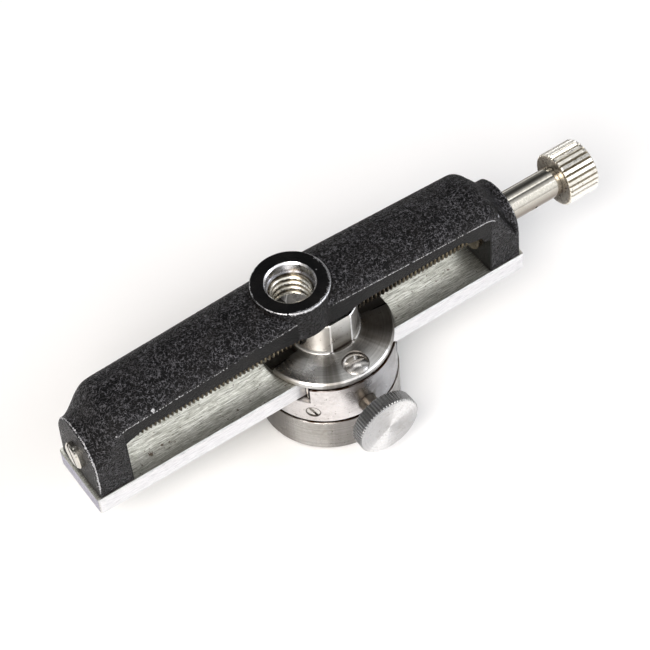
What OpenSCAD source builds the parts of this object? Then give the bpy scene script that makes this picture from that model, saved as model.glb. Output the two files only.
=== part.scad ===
// Macro focusing rail: a flat steel bar under a cast bridge, and a turret that a
// lead screw drives along the bar. Millimetres, +Z up. The origin is the centre of
// the turret's round platform, on its flat lower face, and +X points along the bar
// to the fine focusing knob. The clamp knob points to -Y.

/* [Bar] */
// Length of the flat steel bar
bar_len = 104.4; // [84:0.2:130]
// Width of the bar
bar_w = 15.9; // [13.2:0.1:19.2]
// Thickness of the bar
bar_t = 4.5; // [3.6:0.1:5.6]
// Rounding of the bar's corners, seen from above
bar_corner_r = 1; // [0.5:0.1:2]
// Bevel along the bar's long edges
bar_bevel = 0.3; // [0.1:0.05:0.5]
// Distance of the bar's middle from the turret's axis at rest
bar_shift = -6.7; // [-9:0.1:9]

/* [Bridge casting] */
// Bar left bare at each end of the casting
bridge_inset = 0.8; // [0.3:0.1:2]
// Bar left bare along each side of the casting
bridge_ledge = 0.55; // [0.3:0.05:1]
// Length of each solid end block
block_len = 7.7; // [7:0.1:10]
// Height of the window near the plain end block
window_plain_h = 12.7; // [12.2:0.1:13.5]
// Height of the window near the driven end block
window_driven_h = 13.3; // [12.8:0.1:14]
// How far the window's corner at the plain end block is filled in
corner_fill = 0.8; // [0.2:0.1:1.5]
// Height of the haunch on the driven end block above the bar
haunch_h = 10.4; // [10:0.1:11.4]
// Length of that haunch
haunch_len = 1.5; // [1:0.1:2]
// Height of the side crease at the end blocks
crease_end_h = 16.1; // [15:0.1:18]
// Height of the side crease in the middle
crease_mid_h = 18.2; // [17:0.1:20]
// Height of the crown at the end blocks
crown_end_h = 19.4; // [18.5:0.1:21.5]
// Height of the crown in the middle
crown_mid_h = 20.9; // [20:0.1:23]
// Height of the arched collar at each end
collar_h = 14.7; // [13.2:0.1:15.5]
// Height at which the collar's walls start to curve in
collar_spring_h = 6.3; // [5.5:0.1:8]
// Length of the collar on the plain end block
plain_collar_len = 0.5; // [0.5:0.1:2]
// Length of the collar on the driven end block
driven_collar_len = 1.4; // [0.5:0.1:2]
// Length over which the crown drops to the casting's ends
nose_len = 8.9; // [7:0.1:12]
// By how much the end faces lean in at the top
end_lean = 0.3; // [0:0.05:0.5]
// Rounding of the casting's end edges
end_edge = 0.3; // [0.1:0.05:0.4]

/* [Tripod socket] */
// Radius of the round boss
boss_r = 8.1; // [7.4:0.1:10]
// How far the boss stands above the crown
boss_proud = 0.6; // [0.3:0.1:1.5]
// Radius across the crests of the socket's 3/8 inch thread
socket_r = 3.97; // [3.2:0.01:4.2]
// Radius of the plain recess above the thread
recess_r = 4.95; // [4.85:0.05:6]
// Depth of the plain recess
recess_depth = 2.6; // [1:0.1:4]
// Bevel round the mouth of the recess
recess_bevel = 0.35; // [0.1:0.05:0.6]

/* [Lead screw] */
// Outer radius of the lead screw
screw_r = 3; // [2.5:0.05:3.3]
// Height of the lead screw's axis above the bar
screw_h = 6.7; // [6:0.1:7]
// Radius of the two journals that turn in the end blocks
journal_r = 2.5; // [2:0.05:2.6]
// Length of the journal in the plain end block
plain_journal_len = 3.2; // [2.5:0.1:4]
// Radius of the adjusting plug in the plain end block
plug_r = 2.9; // [2.7:0.05:3.3]
// How far the plug stands out of the casting
plug_proud = 1.1; // [0.5:0.1:2]
// Outer radius of the bearing bush in the driven end block
bush_r = 4.2; // [3.8:0.1:4.6]
// Thickness of the thrust washer behind the bush
thrust_t = 0.8; // [0.5:0.1:1.2]
// Outer radius of the thrust washer
thrust_r = 4.4; // [3.8:0.1:5]

/* [Fine focusing knob] */
// Radius of the sleeve between the casting and the knob
stem_r = 3.3; // [2.8:0.05:3.8]
// Length of the sleeve
stem_len = 14.1; // [11:0.1:18]
// Radius of the screw's tail inside the sleeve
tail_r = 1.9; // [1.5:0.05:2]
// Distance of the cross pin from the sleeve's inner end
pin_from_block = 6.9; // [4:0.1:9]
// Radius of the cross pin
pin_r = 0.8; // [0.5:0.05:1]
// Radius of the knob over its flutes
knob_r = 6; // [5:0.1:8]
// Length of the knob
knob_len = 7.8; // [6:0.1:12]
// Number of flutes round the knob
knob_flutes = 30; // [20:1:40]
// Depth of each flute
flute_depth = 0.5; // [0.3:0.05:0.8]

/* [Turret] */
// Wall left outside the cap screws' heads, which sets the cap's radius
cap_wall = 0.25; // [0.2:0.05:3]
// By how much the drum stands out from the cap
drum_step = 0.35; // [0.2:0.05:0.6]
// Height of the drum
drum_h = 10.4; // [10:0.1:12]
// Height of the cap's upright rim above the drum
cap_rim_h = 1.75; // [1.3:0.05:2.2]
// Height of the cap's cone where it meets the post, above the drum
cap_cone_h = 2.7; // [2.4:0.1:3]
// Height of the bar's upper face above the drum
bar_stand = 0.3; // [0.2:0.05:0.5]
// Radius of the post that carries the lead screw's thread
post_r = 7.2; // [6.6:0.1:7.6]
// Height of the post above the bar
post_h = 10.9; // [10.6:0.05:11]
// Distance of the post's spanner flats from its axis
post_flat = 6.75; // [6.3:0.05:6.9]
// Height of the steep bevel at the top of each flat
flat_bevel = 0.9; // [0.3:0.1:1.2]
// Radius of the fillet at the foot of the post
post_fillet = 0.7; // [0.5:0.1:1]
// Width of the groove across the cap under the lead screw
trough_w = 4; // [3:0.1:5]
// Height of that groove's floor above the bar
trough_floor_h = 0.7; // [0.5:0.05:1]
// Radius of the round entry at each end of the post's thread
entry_r = 3.5; // [3.3:0.05:4]
// Depth of each round entry
entry_depth = 1.4; // [0.8:0.1:2]

/* [Cap screws and gib] */
// Radius of the domed screw heads
cap_head_r = 2.75; // [2.4:0.05:2.8]
// Height of the upright part of a domed head
cap_head_h = 0.55; // [0.4:0.05:0.8]
// Height of the dome on it
cap_dome_h = 0.85; // [0.5:0.05:1.1]
// Radius of the screws' shanks
cap_shank_r = 1; // [0.8:0.05:1.1]
// Length of the screws' shanks
cap_shank_len = 5; // [4:0.1:6]
// Thickness of the gib strip that the bar slides on
gib_t = 1.3; // [1:0.05:1.5]
// Room behind the gib for its leaf spring
gib_room = 0.9; // [0.7:0.05:1.2]
// Thickness of the leaf spring
leaf_t = 0.25; // [0.2:0.05:0.35]

/* [Platform] */
// By how much the round platform stands out from the drum
platform_step = 0.25; // [0.1:0.05:1.5]
// Height of the platform's disc
platform_h = 8.95; // [8:0.05:12]
// Bevel of the disc's edges
platform_bevel = 0.4; // [0.2:0.05:0.8]
// Thickness of the friction washer on the disc
washer_t = 0.2; // [0.15:0.05:0.4]
// Radius of the platform's spigot inside the drum
spigot_r = 9; // [8:0.1:10]
// Depth of the groove round the spigot
groove_depth = 1.1; // [0.8:0.05:1.3]
// Half the height of the groove at its mouth
groove_half = 1.3; // [1.15:0.05:1.4]
// Height of the spigot's lip above the groove
groove_lip = 0.7; // [0.5:0.05:0.8]
// Radius across the crests of the platform's 1/4 inch thread
stud_r = 2.6; // [2.4:0.01:3]
// Depth of that thread
stud_depth = 7; // [5:0.1:9]

/* [Clamp] */
// Height of the clamp's axis above the drum's lower face
clamp_h = 3.2; // [3:0.05:3.25]
// Radius of the knurled clamp knob
clamp_r = 7.1; // [6:0.1:8]
// Thickness of the clamp knob
clamp_t = 3.3; // [2.5:0.1:5]
// Distance of the knob's outer face from the drum's wall
clamp_reach = 8.05; // [7.5:0.05:12]
// Number of knurls round the clamp knob
clamp_knurls = 64; // [40:1:80]
// Depth of each knurl
knurl_depth = 0.3; // [0.2:0.05:0.4]
// Radius of the clamp's threaded shaft
shaft_r = 2; // [1.7:0.05:2.1]
// Radius of the hub on the knob's inner face
hub_r = 3.3; // [2.8:0.1:4]
// Length of that hub
hub_len = 1.4; // [0.5:0.1:2]
// Radius of the retaining screw in the drum's wall
retainer_r = 1.4; // [1.2:0.05:1.6]
// Direction of the retaining screw, from +X
retainer_angle = -135; // [-160:1:-110]

/* [Hidden] */

$fn = 96;
eps = 0.01;
run_gap = 0.05;        // radial clearance of a running fit
slide_gap = 0.05;      // clearance of the bar in its channel
seat_gap = 0.03;       // clearance of a piece that is screwed or pressed in
tip_gap = 0.1;         // clearance of a screw's tip from what it keeps in place
slot_w = 0.6;          // width of the screwdriver slots
slot_d = 0.5;          // depth of the screwdriver slots
edge = 0.2;            // bevel of small turned edges
round_fn = 144;        // steps round the turret's large discs

// Heights of the faces that the pieces share
drum_z = platform_h + washer_t + slide_gap;
drum_top = drum_z + drum_h;
bar_top = drum_top + bar_stand;
bar_z = bar_top - bar_t;
channel_z = bar_z - slide_gap;
clamp_z = drum_z + clamp_h;
screw_z = bar_top + screw_h;

// Places along the bar, from its middle
bridge_half = bar_len / 2 - bridge_inset;
window_half = bridge_half - block_len;
bridge_w = bar_w - 2 * bridge_ledge;
thread_end = window_half - thrust_t - run_gap;
stem_start = bridge_half + 2 * tip_gap;
knob_start = stem_start + stem_len;
plug_inner = bridge_half - block_len + plain_journal_len + tip_gap;

// The channel for the bar and its gib
channel_back = bar_w / 2 + slide_gap;
gib_face = bar_w / 2 + slide_gap;
channel_front = gib_face + gib_t + gib_room;

// The cap's screws stand just outside the channel, and the turret's radii follow
cap_screw_y = channel_front + tip_gap + cap_shank_r;
cap_seat_h = 1.2;      // cap left under the screw heads
cap_slot_turn = -11;   // direction of the slots in the screw heads
cap_r = cap_screw_y + cap_head_r + tip_gap + cap_wall;
drum_r = cap_r + drum_step;
platform_r = drum_r + platform_step;
clamp_face = drum_r + clamp_reach;

// The gib lies along the channel's front wall and ends inside the drum
gib_end_gap = 0.3;
gib_half = sqrt(drum_r * drum_r - channel_front * channel_front) - gib_end_gap;
gib_z = channel_z + tip_gap;
gib_h = drum_top - gib_z - tip_gap;
spring_gap = 0.05;     // room between the leaf spring and the channel's wall
spring_edge = 0.3;     // the spring is that much narrower than the gib, each side
spring_short = 0.8;    // and that much shorter at each end

// The bridge's screws come up through the bar
bridge_screw_r = 1.2;
bridge_screw_up = 2.9; // length in the casting
bridge_screw_in = 2.7; // distance of the screws from the casting's side
bridge_screw_y = bridge_w / 2 - bridge_screw_in;
bridge_head_r = 2.3;
bridge_head_h = 1.1;
block_mid = bridge_half - block_len / 2;

// Spigot, groove and what reaches into it
spigot_z = clamp_z + groove_half + groove_lip;
socket_z = spigot_z + 2 * tip_gap;
groove_r = spigot_r - groove_depth;
groove_slope = 0.5;    // by how much the groove narrows to its floor
groove_floor_half = groove_half - groove_slope;
shoe_len = 1.9;        // length of the shoe's guided part
neck_gap = 0.2;        // start of that part outside the spigot
shoe_back = spigot_r + shoe_len;
shoe_step = spigot_r + neck_gap;
shoe_tip_r = groove_floor_half - tip_gap;
clamp_inner = clamp_face - clamp_t;
seat_step = 0.4;       // a seated end is that much thinner than its shaft
shaft_seat_r = shaft_r - seat_step;
shaft_seat = 1.8;      // length of the shaft inside the knob

// The sleeve's end is seated in the fine knob
sleeve_seat_r = tail_r + 0.6;
sleeve_seat = knob_len / 2;
tail_short = 2;        // the screw's tail ends that far before the knob

STEEL = "#a8a9a6";
TURNED = "#b4b4b3";
BLACK = "#2b2a2c";
BRIGHT = "#c9c7c1";
BRASS = "#a98f55";
DARK = "#5d5a55";

// ---------- shared shapes ----------

// A cylinder along +X, from x to x + len
module x_rod(r, x, len, z = screw_z) {
  translate([x, 0, z])
    rotate([0, 90, 0])
      cylinder(r = r, h = len);
}

// A cylinder along Y, from -Y distance a inwards to -Y distance b
module clamp_rod(r, a, b, r_in = undef) {
  translate([0, -a, clamp_z])
    rotate([-90, 0, 0])
      cylinder(r1 = r, r2 = is_undef(r_in) ? r : r_in, h = a - b);
}

// A straight screwdriver slot across a head whose top is at z = 0
module driver_slot(length) {
  translate([-length / 2, -slot_w / 2, -slot_d])
    cube([length, slot_w, slot_d + 1]);
}

// Outline of a knob with n flutes of the given depth; land is the share left flat
function fluted(n, r, depth, land) = [
  for (i = [0 : n - 1], k = [0 : 2])
    let (step = 360 / n,
         a = step * (i + (k == 0 ? 0 : k == 1 ? land : (1 + land) / 2)),
         rr = k == 2 ? r - depth : r)
      [rr * cos(a), rr * sin(a)]
];

// A rectangle from z = 0 up with its four corners bevelled
function bevelled(width, height, bevel) =
  let (a = width / 2, b = width / 2 - bevel, h = height)
    [[-b, 0], [b, 0], [a, bevel], [a, h - bevel],
     [b, h], [-b, h], [-a, h - bevel], [-a, bevel]];

// The bar's outline, seen from above
module bar_outline() {
  r = bar_corner_r;
  square([bar_len, bar_w - 2 * r], center = true);
  square([bar_len - 2 * r, bar_w], center = true);
  for (sx = [-1, 1], sy = [-1, 1])
    translate([sx * (bar_len / 2 - r), sy * (bar_w / 2 - r)])
      circle(r = r);
}

// ---------- the casting's loft ----------

arch_steps = 14;       // facets of the crown's arch
arch_power = 2.2;      // roundness of the arch: 2 is an ellipse
nose_parts = 10;       // cross-sections along each nose
nose_power = 1.35;     // above 1, the drop starts later than it ends

function mix(a, b, t) = a + (b - a) * t;

// One cross-section: upright walls to the crease, then a rounded crown; its top
// leans in by the given amount
function section(x, half_w, crease, top, lean) =
  let (outline = concat(
         [[-half_w, 0], [half_w, 0]],
         [for (i = [0 : arch_steps])
            let (a = 180 * i / arch_steps, c = cos(a), s = sin(a))
              [half_w * sign(c) * pow(abs(c), 2 / arch_power),
               crease + (top - crease) * pow(abs(s), 2 / arch_power)]]))
    [for (p = outline) [x - sign(x) * lean * p[1] / top, p[0], p[1]]];

// The cross-section at x from the middle, for a nose that is dropped by the share t
function beam_at(x, t) =
  let (u = min(abs(x) / window_half, 1))
    section(x, bridge_w / 2,
            mix(mix(crease_mid_h, crease_end_h, u), collar_spring_h, t),
            mix(mix(crown_mid_h, crown_end_h, u), collar_h, t), end_lean * t);

// The cross-section of a collar, shrunk for the bevel of the end's edge
function collar_at(x, shrink) =
  section(x, bridge_w / 2 - shrink, collar_spring_h, collar_h - shrink, end_lean);

// Half the casting, from the middle to the end on the given side
function half_bridge(side, collar_len) =
  let (x0 = bridge_half - nose_len, run = nose_len - collar_len)
    concat(
      [for (i = [0 : nose_parts])
         let (f = i / nose_parts, t = (1 - cos(180 * pow(f, nose_power))) / 2)
           beam_at(side * (x0 + run * f), t)],
      [collar_at(side * (bridge_half - end_edge), 0),
       collar_at(side * bridge_half, end_edge)]);

function reversed(rows) = [for (i = [len(rows) - 1 : -1 : 0]) rows[i]];

bridge_sections = concat(reversed(half_bridge(-1, plain_collar_len)), [beam_at(0, 0)],
                         half_bridge(1, driven_collar_len));

// A closed skin over a row of cross-sections that all have the same number of points
module loft(rows) {
  n = len(rows[0]);
  last = len(rows) - 1;
  points = [for (row = rows) each row];
  sides = [
    for (i = [0 : last - 1], j = [0 : n - 1])
      let (k = (j + 1) % n)
        each [[i * n + j, (i + 1) * n + j, (i + 1) * n + k],
              [i * n + j, (i + 1) * n + k, i * n + k]]
  ];
  start = [[for (j = [0 : n - 1]) j]];
  end = [[for (j = [n - 1 : -1 : 0]) last * n + j]];
  polyhedron(points = points, faces = concat(start, sides, end), convexity = 6);
}

// ---------- rail ----------

// The flat steel bar, with countersunk holes under the bridge's end blocks
module rail_bar() {
  color(STEEL)
    difference() {
      translate([bar_shift, 0, bar_z])
        intersection() {
          linear_extrude(bar_t)
            bar_outline();
          rotate([90, 0, 90])
            linear_extrude(bar_len, center = true)
              polygon(bevelled(bar_w, bar_t, bar_bevel));
          rotate([90, 0, 0])
            linear_extrude(bar_w, center = true)
              polygon(bevelled(bar_len, bar_t, bar_bevel));
        }
      at_bridge_screws()
        bridge_screw_space(seat_gap);
    }
}

// Places what follows at the four bridge screws, at the bar's lower face
module at_bridge_screws() {
  for (sx = [-1, 1], sy = [-1, 1])
    translate([bar_shift + sx * block_mid, sy * bridge_screw_y, bar_z])
      children();
}

// A countersunk screw's shape, grown by a gap
module bridge_screw_space(gap) {
  translate([0, 0, -eps])
    cylinder(r1 = bridge_head_r + gap, r2 = bridge_screw_r + gap,
             h = bridge_head_h + gap);
  cylinder(r = bridge_screw_r + gap, h = bar_t + bridge_screw_up + gap);
}

// Outline of the window under the beam, seen from the clamp's side
module window_outline() {
  fill_len = 2.7;        // length of the filled corner
  haunch_x = window_half - haunch_len;
  polygon([[-window_half, -1], [window_half, -1], [window_half, haunch_h - 0.45],
           [haunch_x, haunch_h], [haunch_x - 0.6, haunch_h + 1.6],
           [haunch_x - 3.2, haunch_h + 1.9], [haunch_x - 6.2, window_driven_h],
           [fill_len - window_half, window_plain_h],
           [-window_half, window_plain_h - corner_fill]]);
}

// The black casting: two end blocks, the gabled beam with its crown, and the boss
module bridge() {
  boss_h = crown_mid_h + boss_proud;
  boss_foot = window_driven_h - 0.6;
  color(BLACK)
    translate([bar_shift, 0, bar_top])
      difference() {
        union() {
          loft(bridge_sections);
          translate([0, 0, boss_foot])
            cylinder(r = boss_r, h = boss_h - boss_foot);
        }
        rotate([90, 0, 0])
          linear_extrude(2 * bridge_w, center = true)
            window_outline();
        cylinder(r = socket_r, h = boss_h + 1);
        translate([0, 0, boss_h - recess_depth])
          cylinder(r = recess_r, h = recess_depth + 1);
        translate([0, 0, boss_h - recess_bevel])
          cylinder(r1 = recess_r, r2 = recess_r + 2 * recess_bevel, h = 2 * recess_bevel);
        x_rod(journal_r + run_gap, -plug_inner - eps, plain_journal_len + 1, screw_h);
        x_rod(plug_r + seat_gap, -bridge_half - 1, bridge_half - plug_inner + 1, screw_h);
        x_rod(bush_r + seat_gap, window_half - 1, block_len + 2, screw_h);
        x_rod(thrust_r + 3 * tip_gap, window_half - haunch_len - 1, haunch_len + 1, screw_h);
        translate([-bar_shift, 0, -bar_top])
          at_bridge_screws()
            bridge_screw_space(seat_gap);
      }
}

// Four countersunk screws that hold the bridge's end blocks on the bar
module bridge_screws() {
  color(DARK)
    at_bridge_screws()
      difference() {
        intersection() {
          bridge_screw_space(0);
          translate([0, 0, tip_gap])
            cylinder(r = bridge_head_r + 1, h = bar_t + bridge_screw_up - tip_gap);
        }
        translate([0, 0, tip_gap])
          mirror([0, 0, 1])
            driver_slot(3 * bridge_head_r);
      }
}

// The slotted plug that takes up the lead screw's end play
module adjusting_plug() {
  x0 = bar_shift - bridge_half - plug_proud;
  bevel = 0.35;
  slot_turn = -28;
  color(BRIGHT)
    difference() {
      union() {
        x_rod(plug_r, x0 + bevel, bridge_half + plug_proud - plug_inner - bevel);
        translate([x0, 0, screw_z])
          rotate([0, 90, 0])
            cylinder(r1 = plug_r - bevel, r2 = plug_r, h = bevel);
      }
      translate([x0, 0, screw_z])
        rotate([slot_turn, 0, 0])
          rotate([0, -90, 0])
            driver_slot(3 * plug_r);
    }
}

// The brass bush that the driven journal turns in
module journal_bush() {
  color(BRASS)
    difference() {
      x_rod(bush_r, bar_shift + window_half, block_len);
      x_rod(journal_r + run_gap, bar_shift + window_half - 1, block_len + 2);
    }
}

// ---------- lead screw and fine knob ----------

// The screw, its two journals and the tail that the sleeve is pinned to
module lead_screw() {
  color(DARK)
    difference() {
      union() {
        x_rod(screw_r, bar_shift - window_half + run_gap + tip_gap,
              window_half + thread_end - run_gap - tip_gap);
        x_rod(journal_r, bar_shift - window_half - plain_journal_len,
              plain_journal_len + 1);
        x_rod(journal_r, bar_shift + thread_end - eps,
              stem_start - thread_end + eps);
        x_rod(tail_r, bar_shift + stem_start - 1, stem_len + 1 - tail_short);
      }
      at_stem_pin()
        cylinder(r = pin_r + seat_gap, h = 4 * stem_r, center = true);
    }
}

// Places what follows at the cross pin, along its axis
module at_stem_pin() {
  translate([bar_shift + stem_start + pin_from_block, 0, screw_z])
    rotate([-65, 0, 0])
      children();
}

// The washer between the screw's shoulder and the bush
module thrust_washer() {
  color(BRIGHT)
    difference() {
      x_rod(thrust_r, bar_shift + window_half - thrust_t, thrust_t);
      x_rod(journal_r + run_gap, bar_shift + window_half - thrust_t - 1, thrust_t + 2);
    }
}

// The polished sleeve that joins the screw to the knob
module knob_stem() {
  color(BRIGHT)
    difference() {
      union() {
        x_rod(stem_r, bar_shift + stem_start, stem_len);
        x_rod(sleeve_seat_r, bar_shift + knob_start - eps, sleeve_seat);
      }
      x_rod(tail_r + seat_gap, bar_shift + stem_start - 1,
            stem_len + 1 - tail_short + 5 * tip_gap);
      at_stem_pin()
        cylinder(r = pin_r + seat_gap, h = 4 * stem_r, center = true);
    }
}

// The pin that locks the sleeve on the screw's tail
module stem_pin() {
  color(DARK)
    at_stem_pin()
      cylinder(r = pin_r, h = 2 * (stem_r - edge), center = true);
}

// Half outline of a knob, bevelled at its near and far face and turned about Z
module knob_profile(r, length, near, far) {
  polygon([[0, 0], [r - near, 0], [r, near], [r, length - far], [r - far, length],
           [0, length]]);
}

// The fluted knob that turns the lead screw
module fine_knob() {
  near = 0.25;
  far = 0.4;
  land = 0.4;
  color(BRIGHT)
    difference() {
      translate([bar_shift + knob_start, 0, screw_z])
        rotate([0, 90, 0])
          intersection() {
            linear_extrude(knob_len)
              polygon(fluted(knob_flutes, knob_r, flute_depth, land));
            rotate_extrude()
              knob_profile(knob_r, knob_len, near, far);
          }
      x_rod(sleeve_seat_r + seat_gap, bar_shift + knob_start - 1,
            sleeve_seat + 1 + seat_gap);
    }
}

// ---------- turret ----------

// The channel that the bar slides in, with the gib's room in front
module bar_channel(z, height) {
  translate([-2 * drum_r, -channel_front, z])
    cube([4 * drum_r, channel_front + channel_back, height]);
}

// Places what follows at the two cap screws, on the drum's upper face
module at_cap_screws() {
  for (side = [-1, 1])
    translate([0, side * cap_screw_y, drum_top])
      rotate([0, 0, cap_slot_turn])
        children();
}

// Half outline of the cap, its cone, the fillet and the post, turned about Z
module cap_profile() {
  post_top = bar_stand + post_h;
  fillet_z = cap_cone_h + post_fillet;
  rim_bevel = 0.35;
  fillet = [
    for (i = [0 : 6])
      let (a = 90 * i / 6)
        [post_r + post_fillet * (1 - sin(a)), fillet_z - post_fillet * cos(a)]
  ];
  polygon(concat(
    [[0, 0], [cap_r - edge, 0], [cap_r, edge], [cap_r, cap_rim_h - rim_bevel],
     [cap_r - rim_bevel, cap_rim_h]],
    fillet,
    [[post_r, post_top - edge], [post_r - edge, post_top], [0, post_top]]));
}

// The cap: rim, cone and the flatted post with the lead screw's thread
module carriage_cap() {
  ledge_h = 0.1;         // the flats end that far above the cone
  flat_lean = 0.15;      // depth of the bevel at the top of each flat
  post_top = bar_stand + post_h;
  trough_in = 0.6;       // the groove ends that far from the post
  color(TURNED)
    difference() {
      translate([0, 0, drum_top])
        rotate_extrude($fn = round_fn)
          cap_profile();
      bar_channel(drum_top - 1, 1 + bar_stand + slide_gap);
      for (side = [-90, 90])
        translate([0, 0, drum_top])
          rotate([90, 0, side])
            linear_extrude(2 * post_r, center = true)
              polygon([[post_flat, cap_cone_h + ledge_h], [2 * post_r, cap_cone_h + ledge_h],
                       [2 * post_r, post_top + 1], [post_flat - flat_lean, post_top + 1],
                       [post_flat - flat_lean, post_top], [post_flat, post_top - flat_bevel]]);
      for (side = [0, 180])
        rotate([0, 0, side])
          translate([post_r + trough_in, -trough_w / 2, bar_top + trough_floor_h])
            cube([cap_r, trough_w, cap_cone_h + 1]);
      x_rod(screw_r + run_gap, -2 * post_r, 4 * post_r);
      x_rod(entry_r, -2 * post_r, post_r + entry_depth);
      x_rod(entry_r, post_r - entry_depth, post_r + entry_depth);
      at_cap_screws() {
        translate([0, 0, cap_seat_h])
          cylinder(r = cap_head_r + tip_gap, h = cap_cone_h + 2);
        translate([0, 0, -1])
          cylinder(r = cap_shank_r + tip_gap / 2, h = cap_cone_h + 1);
      }
    }
}

// The two domed, slotted screws that hold the cap on the drum
module cap_screws() {
  dome_r = (cap_head_r * cap_head_r + cap_dome_h * cap_dome_h) / (2 * cap_dome_h);
  color(BRIGHT)
    at_cap_screws()
      translate([0, 0, cap_seat_h])
        difference() {
          union() {
            cylinder(r = cap_head_r, h = cap_head_h);
            intersection() {
              translate([0, 0, cap_head_h + cap_dome_h - dome_r])
                sphere(r = dome_r);
              cylinder(r = cap_head_r, h = cap_head_h + cap_dome_h + 1);
            }
            translate([0, 0, -cap_shank_len])
              cylinder(r = cap_shank_r, h = cap_shank_len + eps);
          }
          translate([0, 0, cap_head_h + cap_dome_h])
            driver_slot(3 * cap_head_r);
        }
}

// The drum: the bar's channel above, the platform's socket below
module carriage_drum() {
  color(TURNED)
    difference() {
      translate([0, 0, drum_z])
        rotate_extrude($fn = round_fn)
          knob_profile(drum_r, drum_h, edge, edge / 2);
      bar_channel(channel_z, bar_t + 2);
      translate([0, 0, drum_z - 1])
        cylinder(r = spigot_r + run_gap, h = socket_z - drum_z + 1);
      clamp_rod(shaft_r + run_gap, drum_r + 1, spigot_r - 1);
      at_retainer()
        cylinder(r = retainer_r + seat_gap, h = drum_r);
      for (side = [-1, 1])
        translate([0, side * cap_screw_y,
                   drum_top + cap_seat_h - cap_shank_len - tip_gap])
          cylinder(r = cap_shank_r + seat_gap, h = drum_h);
    }
}

// The strip that the bar's front edge slides on
module gib() {
  color(BRASS)
    translate([-gib_half, -gib_face - gib_t, gib_z])
      cube([2 * gib_half, gib_t, gib_h]);
}

// The bowed leaf spring that presses the gib on the bar
module gib_spring() {
  bow = gib_room - leaf_t - 2 * spring_gap;
  steps = 12;
  line = [for (i = [0 : steps]) let (t = 2 * i / steps - 1)
            [t * (gib_half - spring_short), bow * t * t]];
  color(DARK)
    translate([0, -channel_front + spring_gap, gib_z + spring_edge])
      linear_extrude(gib_h - 2 * spring_edge)
        polygon(concat(line, [for (i = [steps : -1 : 0]) line[i] + [0, leaf_t]]));
}

// Points along the retaining screw's axis, from the turret's axis outwards
module at_retainer() {
  translate([0, 0, clamp_z])
    rotate([0, 90, retainer_angle])
      translate([0, 0, groove_r + tip_gap])
        children();
}

// The slotted screw in the drum's wall that keeps the platform's spigot in
module retaining_screw() {
  length = drum_r - groove_r - 3 * tip_gap;
  tip_len = spigot_r + neck_gap - groove_r;
  slot_turn = 35;
  color(BRIGHT)
    at_retainer()
      difference() {
        union() {
          cylinder(r = groove_floor_half - tip_gap, h = tip_len + eps);
          translate([0, 0, tip_len])
            cylinder(r = retainer_r, h = length - tip_len);
        }
        translate([0, 0, length])
          rotate([0, 0, slot_turn])
            driver_slot(3 * retainer_r);
      }
}

// ---------- platform ----------

// The round platform, its grooved spigot and its central thread
module camera_platform() {
  color(STEEL)
    difference() {
      rotate_extrude($fn = round_fn)
        polygon([[0, 0], [platform_r - platform_bevel, 0],
                 [platform_r, platform_bevel],
                 [platform_r, platform_h - platform_bevel / 2],
                 [platform_r - platform_bevel / 2, platform_h],
                 [spigot_r, platform_h], [spigot_r, clamp_z - groove_half],
                 [groove_r, clamp_z - groove_floor_half],
                 [groove_r, clamp_z + groove_floor_half],
                 [spigot_r, clamp_z + groove_half], [spigot_r, spigot_z - edge],
                 [spigot_r - edge, spigot_z], [0, spigot_z]]);
      translate([0, 0, -1])
        cylinder(r = stud_r, h = stud_depth + 1);
    }
}

// The thin washer that the drum turns on
module friction_washer() {
  washer_in = 0.5;       // its rim lies that far inside the drum's wall
  color(DARK)
    translate([0, 0, platform_h])
      difference() {
        cylinder(r = drum_r - washer_in, h = washer_t);
        translate([0, 0, -1])
          cylinder(r = spigot_r + run_gap, h = washer_t + 2);
      }
}

// ---------- clamp ----------

// The brass shoe that presses in the spigot's groove
module clamp_shoe() {
  color(BRASS)
    union() {
      clamp_rod(shaft_r - 2 * eps, shoe_back, shoe_step);
      clamp_rod(shoe_tip_r + seat_step, shoe_step + eps, groove_r + tip_gap, shoe_tip_r);
    }
}

// The threaded shaft behind the shoe
module clamp_shaft() {
  color(DARK)
    union() {
      clamp_rod(shaft_r, clamp_inner - hub_len, shoe_back);
      clamp_rod(shaft_seat_r, clamp_inner + shaft_seat, clamp_inner - hub_len - eps);
    }
}

// The knurled clamp knob with its hub
module clamp_knob() {
  outer = 0.4;
  inner = 0.3;
  land = 0.3;
  color(TURNED)
    difference() {
      union() {
        translate([0, -clamp_face, clamp_z])
          rotate([-90, 0, 0])
            intersection() {
              linear_extrude(clamp_t)
                polygon(fluted(clamp_knurls, clamp_r, knurl_depth, land));
              rotate_extrude()
                knob_profile(clamp_r, clamp_t, outer, inner);
            }
        clamp_rod(hub_r, clamp_inner + eps, clamp_inner - hub_len);
      }
      clamp_rod(shaft_seat_r + seat_gap, clamp_inner + shaft_seat + seat_gap,
                clamp_inner - hub_len - 1);
    }
}

rail_bar();
bridge();
bridge_screws();
adjusting_plug();
journal_bush();
lead_screw();
thrust_washer();
knob_stem();
stem_pin();
fine_knob();
carriage_cap();
cap_screws();
carriage_drum();
gib();
gib_spring();
retaining_screw();
camera_platform();
friction_washer();
clamp_shoe();
clamp_shaft();
clamp_knob();
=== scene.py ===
# %% [markdown]
# # A macro focusing rail
#
# The object is a steel bar under a black casting. A lead screw, turned by a small
# fluted knob, drives a steel turret along the bar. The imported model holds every
# piece at its real size. This file gives the pieces their finish, and rebuilds the
# ones whose threads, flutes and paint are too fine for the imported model.
# All lengths here are millimetres until the last moment, when MM makes them metres.

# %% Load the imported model
import math

import bpy
import numpy as np
from mathutils import Matrix, Vector, noise


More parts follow.
